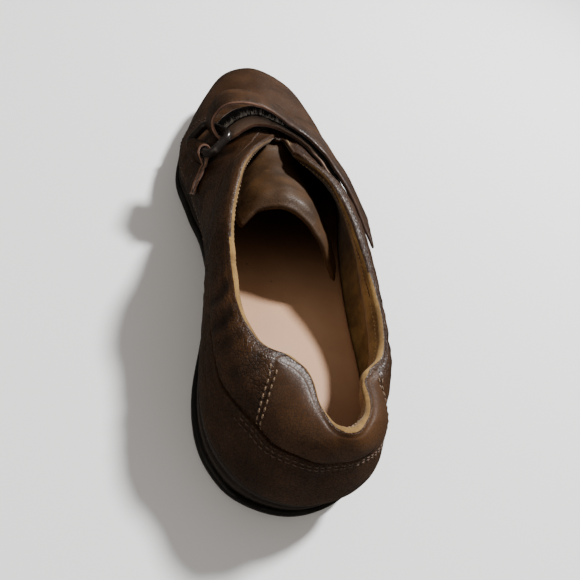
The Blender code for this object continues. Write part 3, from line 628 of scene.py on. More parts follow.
def leather(name, dark, light, pebble, depth, gloss):
    """Dyed leather: dark and light dye, pebble size in metres, depth of grain, roughness."""
    made = Finish(name, gloss, Coat_Weight=0.03, Coat_Roughness=0.25, Specular_IOR_Level=0.32)
    bend = made.node("TexNoise", {"Vector": made.place, "Scale": 0.45 / pebble, "Detail": 2.0})
    bent = made.math(bend.outputs["Color"], (pebble * 1.1,) * 3, "MULTIPLY", "VectorMath")
    at = made.math(made.place, bent, "ADD", "VectorMath")
    edge_near = made.cells(1 / pebble, at, "DISTANCE_TO_EDGE")["Distance"]
    valley = made.blend(0.0, 1.0, edge_near, 0.0, 0.16)
    slow, quick = made.noise(26.0, 5.0, Roughness=0.6), made.noise(420.0, 4.0)
    dye = made.mix(made.blend(0.0, 1.0, slow, 0.32, 0.70), dark, light)
    dye = made.mix(1.0, dye, made.blend(0.62, 1.0, valley), "MULTIPLY")
    # Painted shade: the leather is painted darker in the troughs of the painted folds, and a little
    # lighter on their ridges.
    wear_and_fold_shade = made.blend(0.55, 1.35, made.painted("fold"), -1.0, 0.6)
    dye = made.mix(1.0, dye, wear_and_fold_shade, "MULTIPLY")
    rubbed = made.blend(0.0, 0.30, quick, 0.62, 0.80)
    dye = made.mix(rubbed, dye, tuple(1.7 * c + 0.012 for c in light))
    shine = made.math(made.blend(0.13, -0.04, valley), gloss)
    made.put("Roughness", made.math(made.blend(-0.05, 0.10, slow, 0.3, 0.7), shine))
    coarse = made.noise(0.22 / pebble, 3.0, Distortion=1.2)
    lumps = made.bump(0.40, 0.0010, made.math(coarse, made.painted("soft"), "MULTIPLY"))
    grain = made.bump(depth, 0.00042, valley, lumps)
    return made.done(dye, made.bump(depth * 0.35, 0.00010,
                                    made.cells(2.3 / pebble, at)["Distance"], grain))


GRAINED = leather("grained_leather", (0.0200, 0.0068, 0.0010), (0.0470, 0.0175, 0.0028),
                  0.00140, 0.38, 0.46)
SMOOTH = leather("smooth_leather", (0.0300, 0.0106, 0.0016), (0.0570, 0.0214, 0.0035),
                 0.00110, 0.08, 0.50)
TONGUE_FACE = leather("tongue_leather", (0.0310, 0.0122, 0.0018), (0.0580, 0.0240, 0.0040),
                      0.00100, 0.14, 0.58)

# %% [markdown]
# The lining is suede, the napped side of a skin. It has no shine of its own, only a soft
# sheen at grazing angles from the fibres that stand up. Towards the toe it is painted
# darker, a painted shade of the dark inside of the shoe's front.
# Thread is twisted, so its stitches show as short rounded beads with slanting strands.

# %% Lining, thread and cut edge
def napped(name, dark, light, fibre, sheen=0.25, fade=None):
    """Suede or felt: soft blotches, a fine nap and a sheen."""
    made = Finish(name, 0.9, Sheen_Weight=sheen, Sheen_Roughness=0.5, Specular_IOR_Level=0.25)
    blotch, nap = made.noise(70.0, 5.0, Roughness=0.62), made.noise(fibre, 3.0)
    colour = made.mix(made.blend(0.0, 1.0, blotch, 0.34, 0.68), dark, light)
    if fade:
        colour = made.fade(colour, *fade)
    colour = made.mix(1.0, colour, made.blend(0.72, 1.12, nap, 0.3, 0.7), "MULTIPLY")
    return made.done(colour, made.bump(0.5, 0.0003, made.math(blotch, nap)))


def thread(name, colour):
    """Twisted thread: slanting strands over each bead."""
    made = Finish(name, 0.6, Sheen_Weight=0.15)
    strands = made.node("TexWave", {"Vector": made.place, "Scale": 520.0, "Distortion": 1.5},
                        bands_direction="DIAGONAL").outputs["Fac"]
    shade = made.mix(strands, tuple(c * 0.55 for c in colour), colour)
    return made.done(shade, made.bump(0.5, 0.0001, strands))


# Painted shade: the lining's colour turns dark brown towards the toe, where the inside of the shoe
# lies in shade.
LINING = napped("ochre_suede_lining", (0.135, 0.074, 0.022), (0.300, 0.178, 0.056), 2600.0, 0.12,
                ("Y", -0.045, 0.030, (0.060, 0.026, 0.006)))
BINDING = napped("brown_binding", (0.040, 0.017, 0.004), (0.075, 0.034, 0.009), 2600.0, 0.05)
INNER_SUEDE = napped("tan_grey_suede", (0.230, 0.145, 0.098), (0.360, 0.240, 0.170), 2400.0)
CUT_EDGE = napped("pinkish_cut_edge", (0.095, 0.042, 0.024), (0.210, 0.105, 0.064), 3600.0,
                  fade=("X", -0.018, 0.000, (0.045, 0.019, 0.009)))
TAN_THREAD = thread("tan_thread", (0.165, 0.095, 0.042))
BROWN_THREAD = thread("brown_thread", (0.075, 0.036, 0.016))
DARK_THREAD = thread("dark_thread", (0.060, 0.026, 0.010))
OCHRE_THREAD = thread("ochre_thread", (0.360, 0.220, 0.085))

# %% [markdown]
# The upper gets its four finishes by face: grained leather, smoother leather on the collar
# behind the two panel seams, lining inside and a binding where the edge is worn brown. Its
# face and its lining are kept as search trees, so that other pieces can be laid on them.

# %% Dress the upper
on_collar = (row_of_face >= len(below) - 1) & (row_of_face < face_rows)
near_heel = (turn_of_face < PANEL_TURNS[0] - 1e-5) | (turn_of_face > PANEL_TURNS[1] - 1e-5)
slots = np.where(on_collar & near_heel, 1, slots)
finish_mesh("upper_leather", "upper", loops.reshape(-1, 3), faces,
            [GRAINED, SMOOTH, LINING, BINDING], slots, {"fold": fold_paint, "soft": soft_paint})
placed = [Vector(p) for p in loops.reshape(-1, 3) + SHIFT]
SKIN = BVHTree.FromPolygons(placed[:face.size // 3], [tuple(reversed(f)) for f, row in zip(
    faces, row_of_face) if row < face_rows - 1])
LINING_SKIN = BVHTree.FromPolygons(placed, [
    f for f, row in zip(faces, row_of_face) if face_rows + ROLL <= row < len(loops) - 1])

# %% [markdown]
# Stitches are laid as beads in one mesh: each is a short capsule that dips into the
# leather at both ends. A seam is a line of turns and shares on the upper, walked in even
# steps, so a bead sits on the face of the leather wherever the line goes.

# %% Stitches
BEAD_SIDES = 6
BEAD_SHAPE = ((-0.5, 0.15), (-0.38, 0.75), (-0.12, 1.0), (0.12, 1.0), (0.38, 0.75), (0.5, 0.15))


def on_path(path, walked, at):
    return np.array([np.interp(at, walked, path[:, i]) for i in range(3)])


def beads(path, normals, pitch, length, radius):
    """Capsules laid along a path of points, each with the leather's normal under it."""
    run = np.linalg.norm(np.diff(path, axis=0), axis=1)
    walked = np.concatenate([[0], np.cumsum(run)])
    points, faces = [], []
    for k in range(int(walked[-1] / pitch)):
        at = (k + 0.5) * pitch
        here = on_path(path, walked, at)
        up = unit(on_path(normals, walked, at))
        along = unit(on_path(path, walked, at + pitch / 2) - on_path(path, walked, at - pitch / 2))
        side = unit(np.cross(up, along))
        start = len(points)
        for place, width in BEAD_SHAPE:
            sag = -radius * 1.3 * (abs(place) * 2) ** 3
            for j in range(BEAD_SIDES):
                turn = 2 * math.pi * j / BEAD_SIDES
                points.append(here + along * place * length + side * math.cos(turn) * radius * width
                              + up * (math.sin(turn) * radius * width * 0.8 + sag))
        ring = tube_faces(len(BEAD_SHAPE), BEAD_SIDES, False)
        ring.append(tuple(reversed(range(BEAD_SIDES))))
        ring.append(tuple((len(BEAD_SHAPE) - 1) * BEAD_SIDES + j for j in range(BEAD_SIDES)))
        faces += [tuple(start + v for v in f) for f in ring]
    return points, faces


def seam_line(spots, height=0.0001, steps=60):
    """A line on the leather's face through spots given as turn and share."""
    spots = np.array(spots, float)
    at = np.linspace(0, len(spots) - 1, steps)
    turn = np.interp(at, range(len(spots)), spots[:, 0])
    share = np.interp(at, range(len(spots)), spots[:, 1])
    return outside(turn, share, height)


def stitch_piece(name, seams, thread_material, pitch=0.0027, length=0.0021, radius=0.00030):
    points, faces = [], []
    for path, normals in seams:
        more, added = beads(path, normals, pitch, length, radius)
        faces += [tuple(len(points) + v for v in f) for f in added]
        points += more
    finish_mesh(name, None, points, faces, [thread_material])


def beside(middle, slope, centre, shares, gap):
    """Spots beside a seam that leans."""
    return [(middle + slope * (share - centre) + gap, share) for share in shares]


collar_seams = []
for panel_turn, slope in ((PANEL_TURNS[0], PANEL_SLOPE), (PANEL_TURNS[1], -PANEL_SLOPE)):
    shares_there = np.linspace(0.515, 0.965, 12)
    collar_seams += [seam_line(beside(panel_turn, slope, PANEL_MIDDLE, shares_there, gap))
                     for gap in (-0.0042, 0.0042)]
stitch_piece("collar_stitches", collar_seams, TAN_THREAD, radius=0.00034)

round_heel = np.linspace(-0.190, 0.190, 60)
under_groove = [seam_line([(turn, float(collar_start(turn)) - drop) for turn in round_heel],
                          steps=160) for drop in (0.045, 0.078)]
stitch_piece("counter_stitches", under_groove, BROWN_THREAD)

quarter_seams = [seam_line(beside(middle, slope, SEAM_MIDDLE, np.linspace(0.07, 0.97, 14), gap))
                 for middle, slope, gap in (
                     (MEDIAL_TURN, MEDIAL_SLOPE, -0.0085), (MEDIAL_TURN, MEDIAL_SLOPE, -0.0165),
                     (LATERAL_TURN, LATERAL_SLOPE, 0.0070), (LATERAL_TURN, LATERAL_SLOPE, 0.0135))]
stitch_piece("quarter_stitches", quarter_seams, BROWN_THREAD, 0.0024, 0.0018, 0.00027)

low_walls = [seam_line([(turn, 0.125) for turn in np.linspace(first, last, 30)], steps=120)
             for first, last in ((0.40, 0.60), (1.40, 1.46))]
stitch_piece("wall_stitches", low_walls, TAN_THREAD, 0.0030, 0.0022, 0.00028)

throat = [seam_line([(turn, 0.984) for turn in np.linspace(1.26, 1.62, 60)], steps=200)]
stitch_piece("throat_stitches", throat, DARK_THREAD, 0.0024, 0.0018, 0.00026)

edge_turns = np.linspace(0.0, 2.0, 500)
edge_loop = loops[face_rows + ROLL + 1]
edge_at = np.concatenate([TURNS, [2.0]])
edge_path = on_path(np.concatenate([edge_loop, edge_loop[:1]]), edge_at, edge_turns).T
edge_normals = -last_normal(edge_turns, np.full(len(edge_turns), 0.97))
edge_sides = (edge_turns < 1 - THROAT_TIP, edge_turns > 1 + THROAT_TIP)
stitch_piece("lining_stitches", [(edge_path[side], edge_normals[side]) for side in edge_sides],
             OCHRE_THREAD, 0.0021, 0.0017, 0.00040)

# %% [markdown]
# The sole has two layers: black rubber on the ground and a dark brown wedge of foamed
# rubber over it, with a groove pressed along its side. Each is a stack of rings that
# follow the outline, closed below and above by rows of points from edge to edge. The
# rows of the rubber's underside are lifted into a tread of shallow waves.

# %% Sole
SOLE_STATIONS = 190
TREAD_DEPTH, TREAD_PITCH, TREAD_SWAY = 0.0012, 0.0072, 0.0028


def sole_ring(inset, height):
    """One ring of the sole: an inset of the outline at height(station)."""
    angles = np.linspace(0, 1, SOLE_STATIONS + 1)
    ring = np.concatenate([inset_at(angles, 1, inset), inset_at(angles[-2:0:-1], 2, inset)])
    ring[:, 2] = height(station_of(ring))
    return ring


def cap(points, first, across, lift):
    """Closes the ring that starts at the index first with rows of points across it."""
    total = 2 * SOLE_STATIONS
    rows = []
    for k in range(SOLE_STATIONS + 1):
        a, b = first + k, first + (total - k) % total
        line = [a] * across + [b]
        for j in range(1, across if a != b else 1):
            points.append(lift(points[a] * (1 - j / across) + points[b] * (j / across)))
            line[j] = len(points) - 1
        rows.append(line)
    corners = [tuple(dict.fromkeys((low[j], low[j + 1], high[j + 1], high[j])))
               for low, high in zip(rows, rows[1:]) for j in range(across)]
    return [face for face in corners if len(face) > 2]


def sole_piece(name, node, rings, across, finish, lift_low=np.array, lift_high=np.array):
    """A stack of rings, closed below and above, whose inner points may be lifted."""
    stack = [sole_ring(inset, height) for inset, height in rings]
    points = list(np.concatenate(stack))
    faces = tube_faces(len(stack), 2 * SOLE_STATIONS, False)
    faces += cap(points, 0, across, lift_low)
    faces += cap(points, (len(stack) - 1) * 2 * SOLE_STATIONS, across, lift_high)
    finish_mesh(name, node, points, faces, [finish], sharp=50)
def rubber(name, colour, fleck, roughness, pore):
    """Moulded rubber: nearly even colour, dust in the hollows and a fine pitted face."""
    made = Finish(name, roughness, Specular_IOR_Level=0.4)
    dust = made.blend(0.0, 0.55, made.noise(55.0, 6.0, Roughness=0.65), 0.50, 0.80)
    streak = made.noise(16.0, 2.0)
    made.put("Roughness", made.blend(roughness - 0.10, roughness + 0.14, streak, 0.3, 0.7))
    return made.done(made.mix(dust, colour, fleck), made.bump(0.4, 0.00018, made.noise(pore, 3.0)))


def tread(point):
    """Lifts the underside into shallow cross grooves, none at the edge or in the arch."""
    station = point[1] / LENGTH + 0.5
    wave = point[1] + TREAD_SWAY * math.cos(point[0] * 330)
    groove = 0.5 + 0.5 * math.cos(wave * 2 * math.pi / TREAD_PITCH)
    depth = TREAD_DEPTH * ramp(groove, 0.70, 0.93)
    bare = ramp(station, 0.35, 0.38) * (1 - ramp(station, 0.52, 0.55))
    half = abs(read(OUTLINE, 1, station)) * half_width(station)
    near_edge = ramp(half - abs(point[0]), 0.004, 0.007)
    near_edge = near_edge * ramp(station, 0.03, 0.05) * (1 - ramp(station, 0.95, 0.97))
    return point + np.array([0, 0, depth * (1 - bare) * near_edge])


def wedge_height(share):
    def height(station):
        low = sole_bottom(station) + OUTSOLE + GAP
        return low + (sole_top(station) - low) * share
    return height


BLACK_RUBBER = rubber("black_rubber", (0.0045, 0.0040, 0.0038), (0.030, 0.024, 0.019), 0.55, 2100.0)
WEDGE_RUBBER = rubber("dark_brown_wedge", (0.0130, 0.0078, 0.0050), (0.040, 0.027, 0.018),
                      0.34, 1500.0)
# Inset and height as shares of SOLE_EDGE, and height as a share of OUTSOLE
OUTSOLE_SIDE = ((2.2, 0, 0), (1.3, 0.25, 0), (0.5, 1, 0), (0, 2, 0), (0.15, 0, 0.62), (0, -1, 1),
                (0.35, -0.3, 1), (1, 0, 1))
outsole_rings = [(SOLE_EDGE * inset, lambda s, up=up, share=share:
                  sole_bottom(s) + OUTSOLE * share + SOLE_EDGE * up)
                 for inset, up, share in OUTSOLE_SIDE]
sole_piece("rubber_outsole", "outsole", outsole_rings, 36, BLACK_RUBBER, tread)
# Inset as a share of WEDGE_INSET, and height as a share of the wedge
WEDGE_SIDE = ((1.5, 0), (1.15, 0.05), (1, 0.13), (0.95, 0.3), (1, 0.45), (1.25, 0.49), (1.62, 0.53),
              (1.62, 0.56), (1.25, 0.6), (1, 0.64), (0.95, 0.78), (1, 0.9), (1.5, 1))
wedge_rings = [(WEDGE_INSET * inset, wedge_height(share)) for inset, share in WEDGE_SIDE]
sole_piece("wedge_layer", "wedge_midsole", wedge_rings, 6, WEDGE_RUBBER)
# %% [markdown]
# The insole is a thin bed of foam under smooth pinkish leather. Wear leaves it almost
# flat, with shallow dents under heel and ball, a few dark specks and a dull shine where
# the foot slides.

# %% Insole
def bed_leather():
    made = Finish("beige_insole_leather", 0.55, Specular_IOR_Level=0.35)
    cloud, specks = made.noise(22.0, 5.0, Roughness=0.55), made.cells(75.0)
    colour = made.mix(made.blend(0.0, 1.0, cloud, 0.3, 0.7), (0.40, 0.215, 0.112),
                      (0.50, 0.285, 0.160))
    chance = made.node("SeparateColor", {0: specks["Color"]}).outputs[0]
    chosen = made.math(chance, 0.72, "GREATER_THAN")
    speck = made.math(made.blend(1.0, 0.0, specks["Distance"], 0.030, 0.075), chosen, "MULTIPLY")
    colour = made.mix(made.math(speck, 0.7, "MULTIPLY"), colour, (0.20, 0.115, 0.065))
    # Painted shade: the insole turns dark brown towards the toe, where the vamp and tongue shade
    # it.
    colour = made.fade(colour, "Y", -0.060, 0.010, (0.080, 0.042, 0.022))
    made.put("Roughness", made.blend(0.45, 0.68, cloud, 0.3, 0.7))
    return made.done(colour, made.bump(0.25, 0.0002, made.noise(1300.0, 2.0)))


# Dents of heel and ball: station, half length in stations, half width and depth
DENTS = ((0.16, 0.09, 0.022, 0.0007), (0.70, 0.07, 0.030, 0.0005))


def bed_surface(point):
    station = point[1] / LENGTH + 0.5
    sink = 0
    for middle, half_length, half, depth in DENTS:
        sink -= depth * math.exp(-((station - middle) / half_length) ** 2 - (point[0] / half) ** 2)
    ripple = float(waves(np.array(point), 0.030, 21)) * 0.00018
    return point + np.array([0, 0, sink + ripple])
# Inset and height as shares of INSOLE
BED_SIDE = ((0, 0), (0, 0.6), (0.08, 0.85), (0.35, 1))
bed_rings = [(FEATHER_INSET + WALL + GAP * 3 + INSOLE * inset, lambda s, up=up:
              sole_top(s) + GAP + INSOLE * up) for inset, up in BED_SIDE]
sole_piece("insole_bed", "insole", bed_rings, 28, bed_leather(),
           lift_high=bed_surface)
# %% [markdown]
# Tongue, strap, tapes and tab are sheets. One helper makes them all: it takes the middle
# of the sheet as rows of points, lifts a face and a back off it along its normals, and
# closes the border with a rounded edge. Face, back and edge each get their own finish,
# because leather has a grain side, a flesh side and a raw cut.

# %% Sheets of leather
def sheet_normals(rows):
    run = np.gradient(rows, axis=0)
    side = np.gradient(rows, axis=1)
    return unit(np.cross(side, run))


def leather_sheet(name, node, rows, thickness, finishes, bulge=0.35, painted=None):
    """A closed sheet round its middle rows. Finishes: of the face that the normals point
    to, of the back, and of the edge."""
    count, across = rows.shape[:2]
    normals = sheet_normals(rows)
    border = [(0, j) for j in range(across)] + [(i, across - 1) for i in range(1, count)]
    border += [(count - 1, j) for j in range(across - 2, -1, -1)]
    border += [(i, 0) for i in range(count - 2, 0, -1)]
    half = np.full((count, across, 1), thickness / 2)
    for i, j in border:
        half[i, j] *= 0.80
    outer = []
    for i, j in border:
        near = rows[min(max(i, 1), count - 2), min(max(j, 1), across - 2)]
        away = rows[i, j] - near
        away = away - normals[i, j] * (away @ normals[i, j])
        outer.append(rows[i, j] + unit(away) * thickness * bulge)
    points = np.concatenate([*(rows + normals * half), *(rows - normals * half), outer])
    sheet = sheet_faces(count, across)
    size = count * across
    faces = sheet + [tuple(size + v for v in reversed(f)) for f in sheet]
    slots = [0] * len(sheet) + [1] * len(sheet)
    for k in range(len(border)):
        n = (k + 1) % len(border)
        a, b = (border[m][0] * across + border[m][1] for m in (k, n))
        faces.append((a, b, 2 * size + n, 2 * size + k))
        faces.append((size + b, size + a, 2 * size + k, 2 * size + n))
        slots += [2, 2]
    zero = np.zeros(len(points))
    paint = {"fold": zero, "soft": zero + 0.5}
    for label, values in (painted or {}).items():
        paint[label] = np.concatenate([values.ravel(), values.ravel(), np.zeros(len(border))])
    finish_mesh(name, node, points, faces, finishes, slots, paint)


def along(points, place):
    """A smooth curve through points, at places from 0 at the first to 1 at the last."""
    points = np.asarray(points, float)
    at = np.clip(np.atleast_1d(place), 0, 1) * (len(points) - 1)
    k = np.minimum(at.astype(int), len(points) - 2)
    f = (at - k)[:, None]
    padded = np.concatenate([[points[0] * 2 - points[1]], points, [points[-1] * 2 - points[-2]]])
    before, a, b, after = padded[k], padded[k + 1], padded[k + 2], padded[k + 3]
    return (a * (2 * f ** 3 - 3 * f ** 2 + 1) + b * (3 * f ** 2 - 2 * f ** 3)
            + (b - before) / 2 * (f ** 3 - 2 * f ** 2 + f) + (after - a) / 2 * (f ** 3 - f ** 2))


def place_at(x_share, y_share, z_share):
    """A point given in shares of BALL_HALF, LENGTH and COLLAR_HEIGHT."""
    return np.array([x_share * BALL_HALF, (y_share - 0.5) * LENGTH, z_share * COLLAR_HEIGHT])


# %% [markdown]
# The tongue is a curved sheet of smooth leather. Its front is sewn under the vamp and its
# rear edge is free and turned over, so it catches the light. Five places across each row
# give its arch, and it is kept just under the vamp where it passes below it.

# %% Tongue
TONGUE = 0.0026
TONGUE_ROWS = thousandths((
    ((-380, 640, 780), (-250, 652, 840), (-110, 656, 860), (50, 650, 840), (200, 632, 760)),
    ((-460, 570, 740), (-300, 576, 840), (-120, 578, 865), (90, 566, 830), (320, 540, 700)),
    ((-520, 490, 760), (-360, 500, 900), (-140, 500, 955), (120, 480, 900), (380, 448, 700)),
    ((-540, 430, 810), (-380, 442, 940), (-140, 440, 1020), (140, 416, 940), (430, 376, 680)),
    ((-510, 398, 830), (-370, 415, 930), (-140, 412, 985), (150, 386, 900), (420, 344, 635)),
))
tongue_table = np.array([[place_at(*spot) for spot in row] for row in TONGUE_ROWS])
back_places, across_places = np.linspace(0, 1, 56), np.linspace(0, 1, 46)
columns = np.stack([along(tongue_table[:, k], back_places) for k in range(5)], 1)
tongue_rows = np.stack([along(line, across_places) for line in columns])
flex = waves(tongue_rows, 0.016, 31) * 0.00045
flex = flex + waves(tongue_rows * (0.5, 1.6, 1), 0.007, 33) * 0.00018
tongue_fold = waves(tongue_rows, 0.012, 35) * 0.5
ray_start = float(sole_top(0.5)) + 0.004
for spot, lift in zip(tongue_rows.reshape(-1, 3), flex.ravel()):
    below_spot = Vector((spot[0] + SHIFT[0], spot[1], ray_start))
    hit = LINING_SKIN.ray_cast(below_spot, Vector((0, 0, 1)))[0]
    spot[2] += lift
    if hit is not None:
        spot[2] = min(spot[2], hit.z - GAP * 2.5)
# The columns run from lateral to medial, so that the normals point up
tongue_rows, tongue_fold = tongue_rows[:, ::-1].copy(), tongue_fold[:, ::-1].copy()
tongue_up = sheet_normals(tongue_rows)
TONGUE_LINING = napped("tan_tongue_lining", (0.150, 0.095, 0.050), (0.240, 0.160, 0.092), 2400.0)
leather_sheet("tongue_sheet", "tongue",
              tongue_rows - tongue_up * TONGUE / 2, TONGUE,
              [TONGUE_FACE, TONGUE_LINING, TONGUE_FACE], 0.45, {"fold": tongue_fold})

# %% [markdown]
# The strap is one strip of leather. It starts on the lateral quarter, crosses the throat,
# goes round the ring's bar on the medial side and comes back over itself. Each row of its
# table gives the rear edge, the width and which way the front edge lies. Where the strap
# touches the quarter or its own under layer it is set down on that surface, and then evened
# out, because leather of this thickness bridges small dents.

# %% Strap
STRAP_WIDTH = 0.021
STRAP = 0.0018
TAPE = 0.0007
TAPE_MARGIN = 0.0022
TOP_LAYER = STRAP + TAPE * 2 + GAP * 3
STRAP_ROWS = (
    (0.755, 0.422, 0.51, 1, 0, -3), (0.715, 0.471, 0.657, 1.05, 5, 5),
    (0.58, 0.512, 0.746, 1.06, 8, 12), (0.412, 0.555, 0.813, 1.04, 12, 17),
    (0.226, 0.595, 0.873, 1, 12, 20), (0.038, 0.611, 0.933, 1, 8, 20),
    (-0.151, 0.611, 0.975, 1, 4, 16), (-0.321, 0.609, 0.979, 1, 0, 12),
    (-0.443, 0.606, 0.925, 1, -8, 10), (-0.519, 0.6, 0.861, 1, -14, 11),
    (-0.566, 0.596, 0.826, 0.94, -19, 17), (-0.623, 0.595, 0.821, 0.83, -17, 25),
    (-0.689, 0.597, 0.846, 0.79, -12, 29), (-0.745, 0.602, 0.9, 0.8, -7, 28),
    (-0.751, 0.607, 0.97, 0.89, -3, 22), (-0.679, 0.614, 1.06, 0.94, 0, 17),
    (-0.547, 0.617, 1.104, 1, 2, 17), (-0.358, 0.618, 1.112, 1, 4, 18),
    (-0.189, 0.616, 1.079, 1, 6, 19), (-0.019, 0.613, 1.015, 1, 9, 20),
    (0.151, 0.609, 0.955, 1, 12, 20), (0.345, 0.588, 0.9, 1, 12, 18),
    (0.468, 0.565, 0.864, 1, 12, 17), (0.65, 0.523, 0.79, 1, 8, 12), (0.79, 0.48, 0.691, 1, 5, 5),
    (0.915, 0.43, 0.612, 0.98, 2, 0),
)
STRAP_STEPS = 8
ACROSS = 14
RING_ROW = 11
TURN_ROWS = 2
PRESSED_ROW = 19
# Rows of the table between which each of these comes on or goes off
LEAVES_QUARTER, EVEN_BEFORE, EVEN_AFTER = (2.0, 4.6), (4.5, 7.0), (18.0, 20.0)
SLACK_RISES, SLACK_FALLS = (12.5, 15.0), (23.0, 25.0)
SLACK = 0.0006


def set_down(skin, point, least, free):
    """Draws a point down to a height over the skin; a point below that is always raised."""
    hit, normal, _, _ = skin.find_nearest(Vector(point))
    height = (Vector(point) - hit).dot(normal)
    if height < least:
        return np.array(hit + normal * least)
    return np.array(Vector(point) + normal * (least - height) * (1 - free))


def evened_sheet(rows, weight, passes):
    """Evens out the rows of a sheet, each row by its own weight. The borders stay."""
    weight = np.broadcast_to(weight, len(rows))[1:-1, None, None] * 0.5
    for _ in range(passes):
        rows = rows.copy()
        rows[1:-1] += weight * ((rows[:-2] + rows[2:]) / 2 - rows[1:-1])
        rows[1:-1, 1:-1] += weight * ((rows[1:-1, :-2] + rows[1:-1, 2:]) / 2 - rows[1:-1, 1:-1])
    return rows


def strap_course():
    """The strap's middle as rows of points, laid down where it touches the shoe or itself."""
    table = np.array(STRAP_ROWS)
    rears = np.array([place_at(*row[:3]) for row in STRAP_ROWS])
    turn, tilt = np.radians(table[:, 4]), np.radians(table[:, 5])
    ahead_of = vectors(np.sin(turn) * np.cos(tilt), np.cos(turn) * np.cos(tilt), -np.sin(tilt))
    fronts = rears + ahead_of * (STRAP_WIDTH * table[:, 3])[:, None]
    last = len(table) - 1
    at = np.arange(last * STRAP_STEPS + 1) / STRAP_STEPS
    rear, front = along(rears, at / last) + SHIFT, along(fronts, at / last) + SHIFT
    shares = np.linspace(0, 1, ACROSS + 1)
    rows = rear[:, None] * (1 - shares[:, None]) + front[:, None] * shares[:, None]
    lowest = GAP * 2 + STRAP / 2
    free = ramp(at, *LEAVES_QUARTER)
    rows = np.array([[set_down(SKIN, point, lowest, float(f)) for point in row]
                     for row, f in zip(rows, free)])
    rows = evened_sheet(rows, 1 - ramp(at, *EVEN_BEFORE), 14)
    rows = np.array([[set_down(SKIN, point, lowest, 1.0) for point in row] for row in rows])
    turned = (RING_ROW - TURN_ROWS) * STRAP_STEPS + 1
    under = BVHTree.FromPolygons([Vector(p) for p in rows[:turned].reshape(-1, 3)],
                                 sheet_faces(turned, ACROSS + 1))
    rows = np.array([row if place < PRESSED_ROW else
                     [set_down(under, point, TOP_LAYER, 1.0) for point in row]
                     for row, place in zip(rows, at)])
    rows = evened_sheet(rows, ramp(at, *EVEN_AFTER), 8)
    loose = ramp(at, *SLACK_RISES) * (1 - ramp(at, *SLACK_FALLS)) * 1.0
    crown = loose[:, None] * np.sin(np.pi * shares)[None] * SLACK
    return rows - sheet_normals(rows) * crown[..., None] - SHIFT


strap_rows = strap_course()
strap_normals = sheet_normals(strap_rows)
strap_relief = waves(strap_rows, 0.0055, 43) * 0.00012
leather_sheet("strap_strip", "strap",
              strap_rows - strap_normals * strap_relief[..., None], STRAP,
              [INNER_SUEDE, GRAINED, CUT_EDGE], 0.30, {"fold": waves(strap_rows, 0.010, 41) * 0.6})

# %% [markdown]
# Hook-and-loop tape is woven from black nylon. One tape carries stiff small hooks, the
# other a felt of loops that fluffs up with use and holds pale lint along its border. The
# weave is a fine bump.

# %% Tapes
LOOP_STRETCH, LOOP_BORDERS = (1.6, 10.0), (0.42, 0.90)
HOOK_STRETCH, HOOK_BORDERS = (17.3, 24.6), (0.1, 0.9)
BORDERS_MOVE = (5.0, 7.5)


def tape_finish(name, colour, roughness, weave, sheen):
    made = Finish(name, roughness, Sheen_Weight=sheen, Sheen_Roughness=0.6)
    lint = made.blend(0.0, 0.7, made.noise(380.0, 6.0, Roughness=0.7), 0.60, 0.78)
    shade = made.mix(lint, colour, tuple(c * 7 + 0.02 for c in colour))
    return made.done(shade, made.bump(0.9, 0.0004, made.cells(weave)["Distance"]))


def tape(name, node, stretch, borders, finish):
    """A tape on the side of the strap that faces the other layer. It starts at the strap's
    margins and its borders move to the shares that are given."""
    first, last = (round(at * STRAP_STEPS) for at in stretch)
    raised = strap_rows + strap_normals * ((STRAP + TAPE) / 2 + GAP)
    inset = TAPE_MARGIN / STRAP_WIDTH
    moved = ramp(np.arange(first, last + 1) / STRAP_STEPS, *BORDERS_MOVE)
    rear = inset + (borders[0] - inset) * moved
    front = 1 - inset + (borders[1] - 1 + inset) * moved
    rows = np.stack([along(row, np.linspace(low, high, ACROSS + 1))
                     for row, low, high in zip(raised[first:last + 1], rear, front)])
    leather_sheet(name, node, rows, TAPE, [finish] * 3)
    return rows


LOOP_NYLON = tape_finish("black_loop_nylon", (0.0022, 0.0020, 0.0020), 0.9, 2200.0, 0.03)
HOOK_NYLON = tape_finish("black_hook_nylon", (0.0035, 0.0032, 0.0032), 0.55, 1500.0, 0.0)
loop_rows = tape("loop_tape_strip", "loop_tape", LOOP_STRETCH, LOOP_BORDERS,
                 LOOP_NYLON)
tape("hook_tape_strip", "hook_tape", HOOK_STRETCH, HOOK_BORDERS, HOOK_NYLON)

# %% [markdown]
# Felt of loops catches pale lint along the border that is open to the air. The lint is real
# fibres, thickest at the border itself, which lean outward from the felt.

# %% Lint
LINT_FIBRES = 170
LINT_FROM = 5.6           # row of the strap's table where the border comes into the open
LINT_REACH = 0.0009
LINT_LENGTH = 0.0028
LINT_RADIUS = 0.00013
BORDER_COLUMN = 6


def fibres(name, roots, directions, finish, seed):
    """Short thin cones that lean about their direction."""
    draw = np.random.default_rng(seed)
    points, faces = [], []
    for root, direction in zip(roots, directions):
        lean = unit(direction + draw.normal(size=3) * 0.45)
        tall = LINT_LENGTH * draw.uniform(0.45, 1.2)
        first = unit(np.cross(lean, (0.31, 0.52, 0.79)))
        second = np.cross(lean, first)
        bow = draw.normal(size=3) * tall * 0.18
        start = len(points)
        for share in (0.0, 0.5):
            for turn in (0.0, 2.1, 4.2):
                wide = LINT_RADIUS * (1 - share * 0.5)
                points.append(root + lean * tall * share + bow * share
                              + (first * math.cos(turn) + second * math.sin(turn)) * wide)
        points.append(root + lean * tall + bow * 0.4)
        for k in range(3):
            n = (k + 1) % 3
            faces.append((start + k, start + n, start + 3 + n, start + 3 + k))
            faces.append((start + 3 + k, start + 3 + n, start + 6))
        faces.append((start + 2, start + 1, start))
    finish_mesh(name, None, points, faces, [finish])


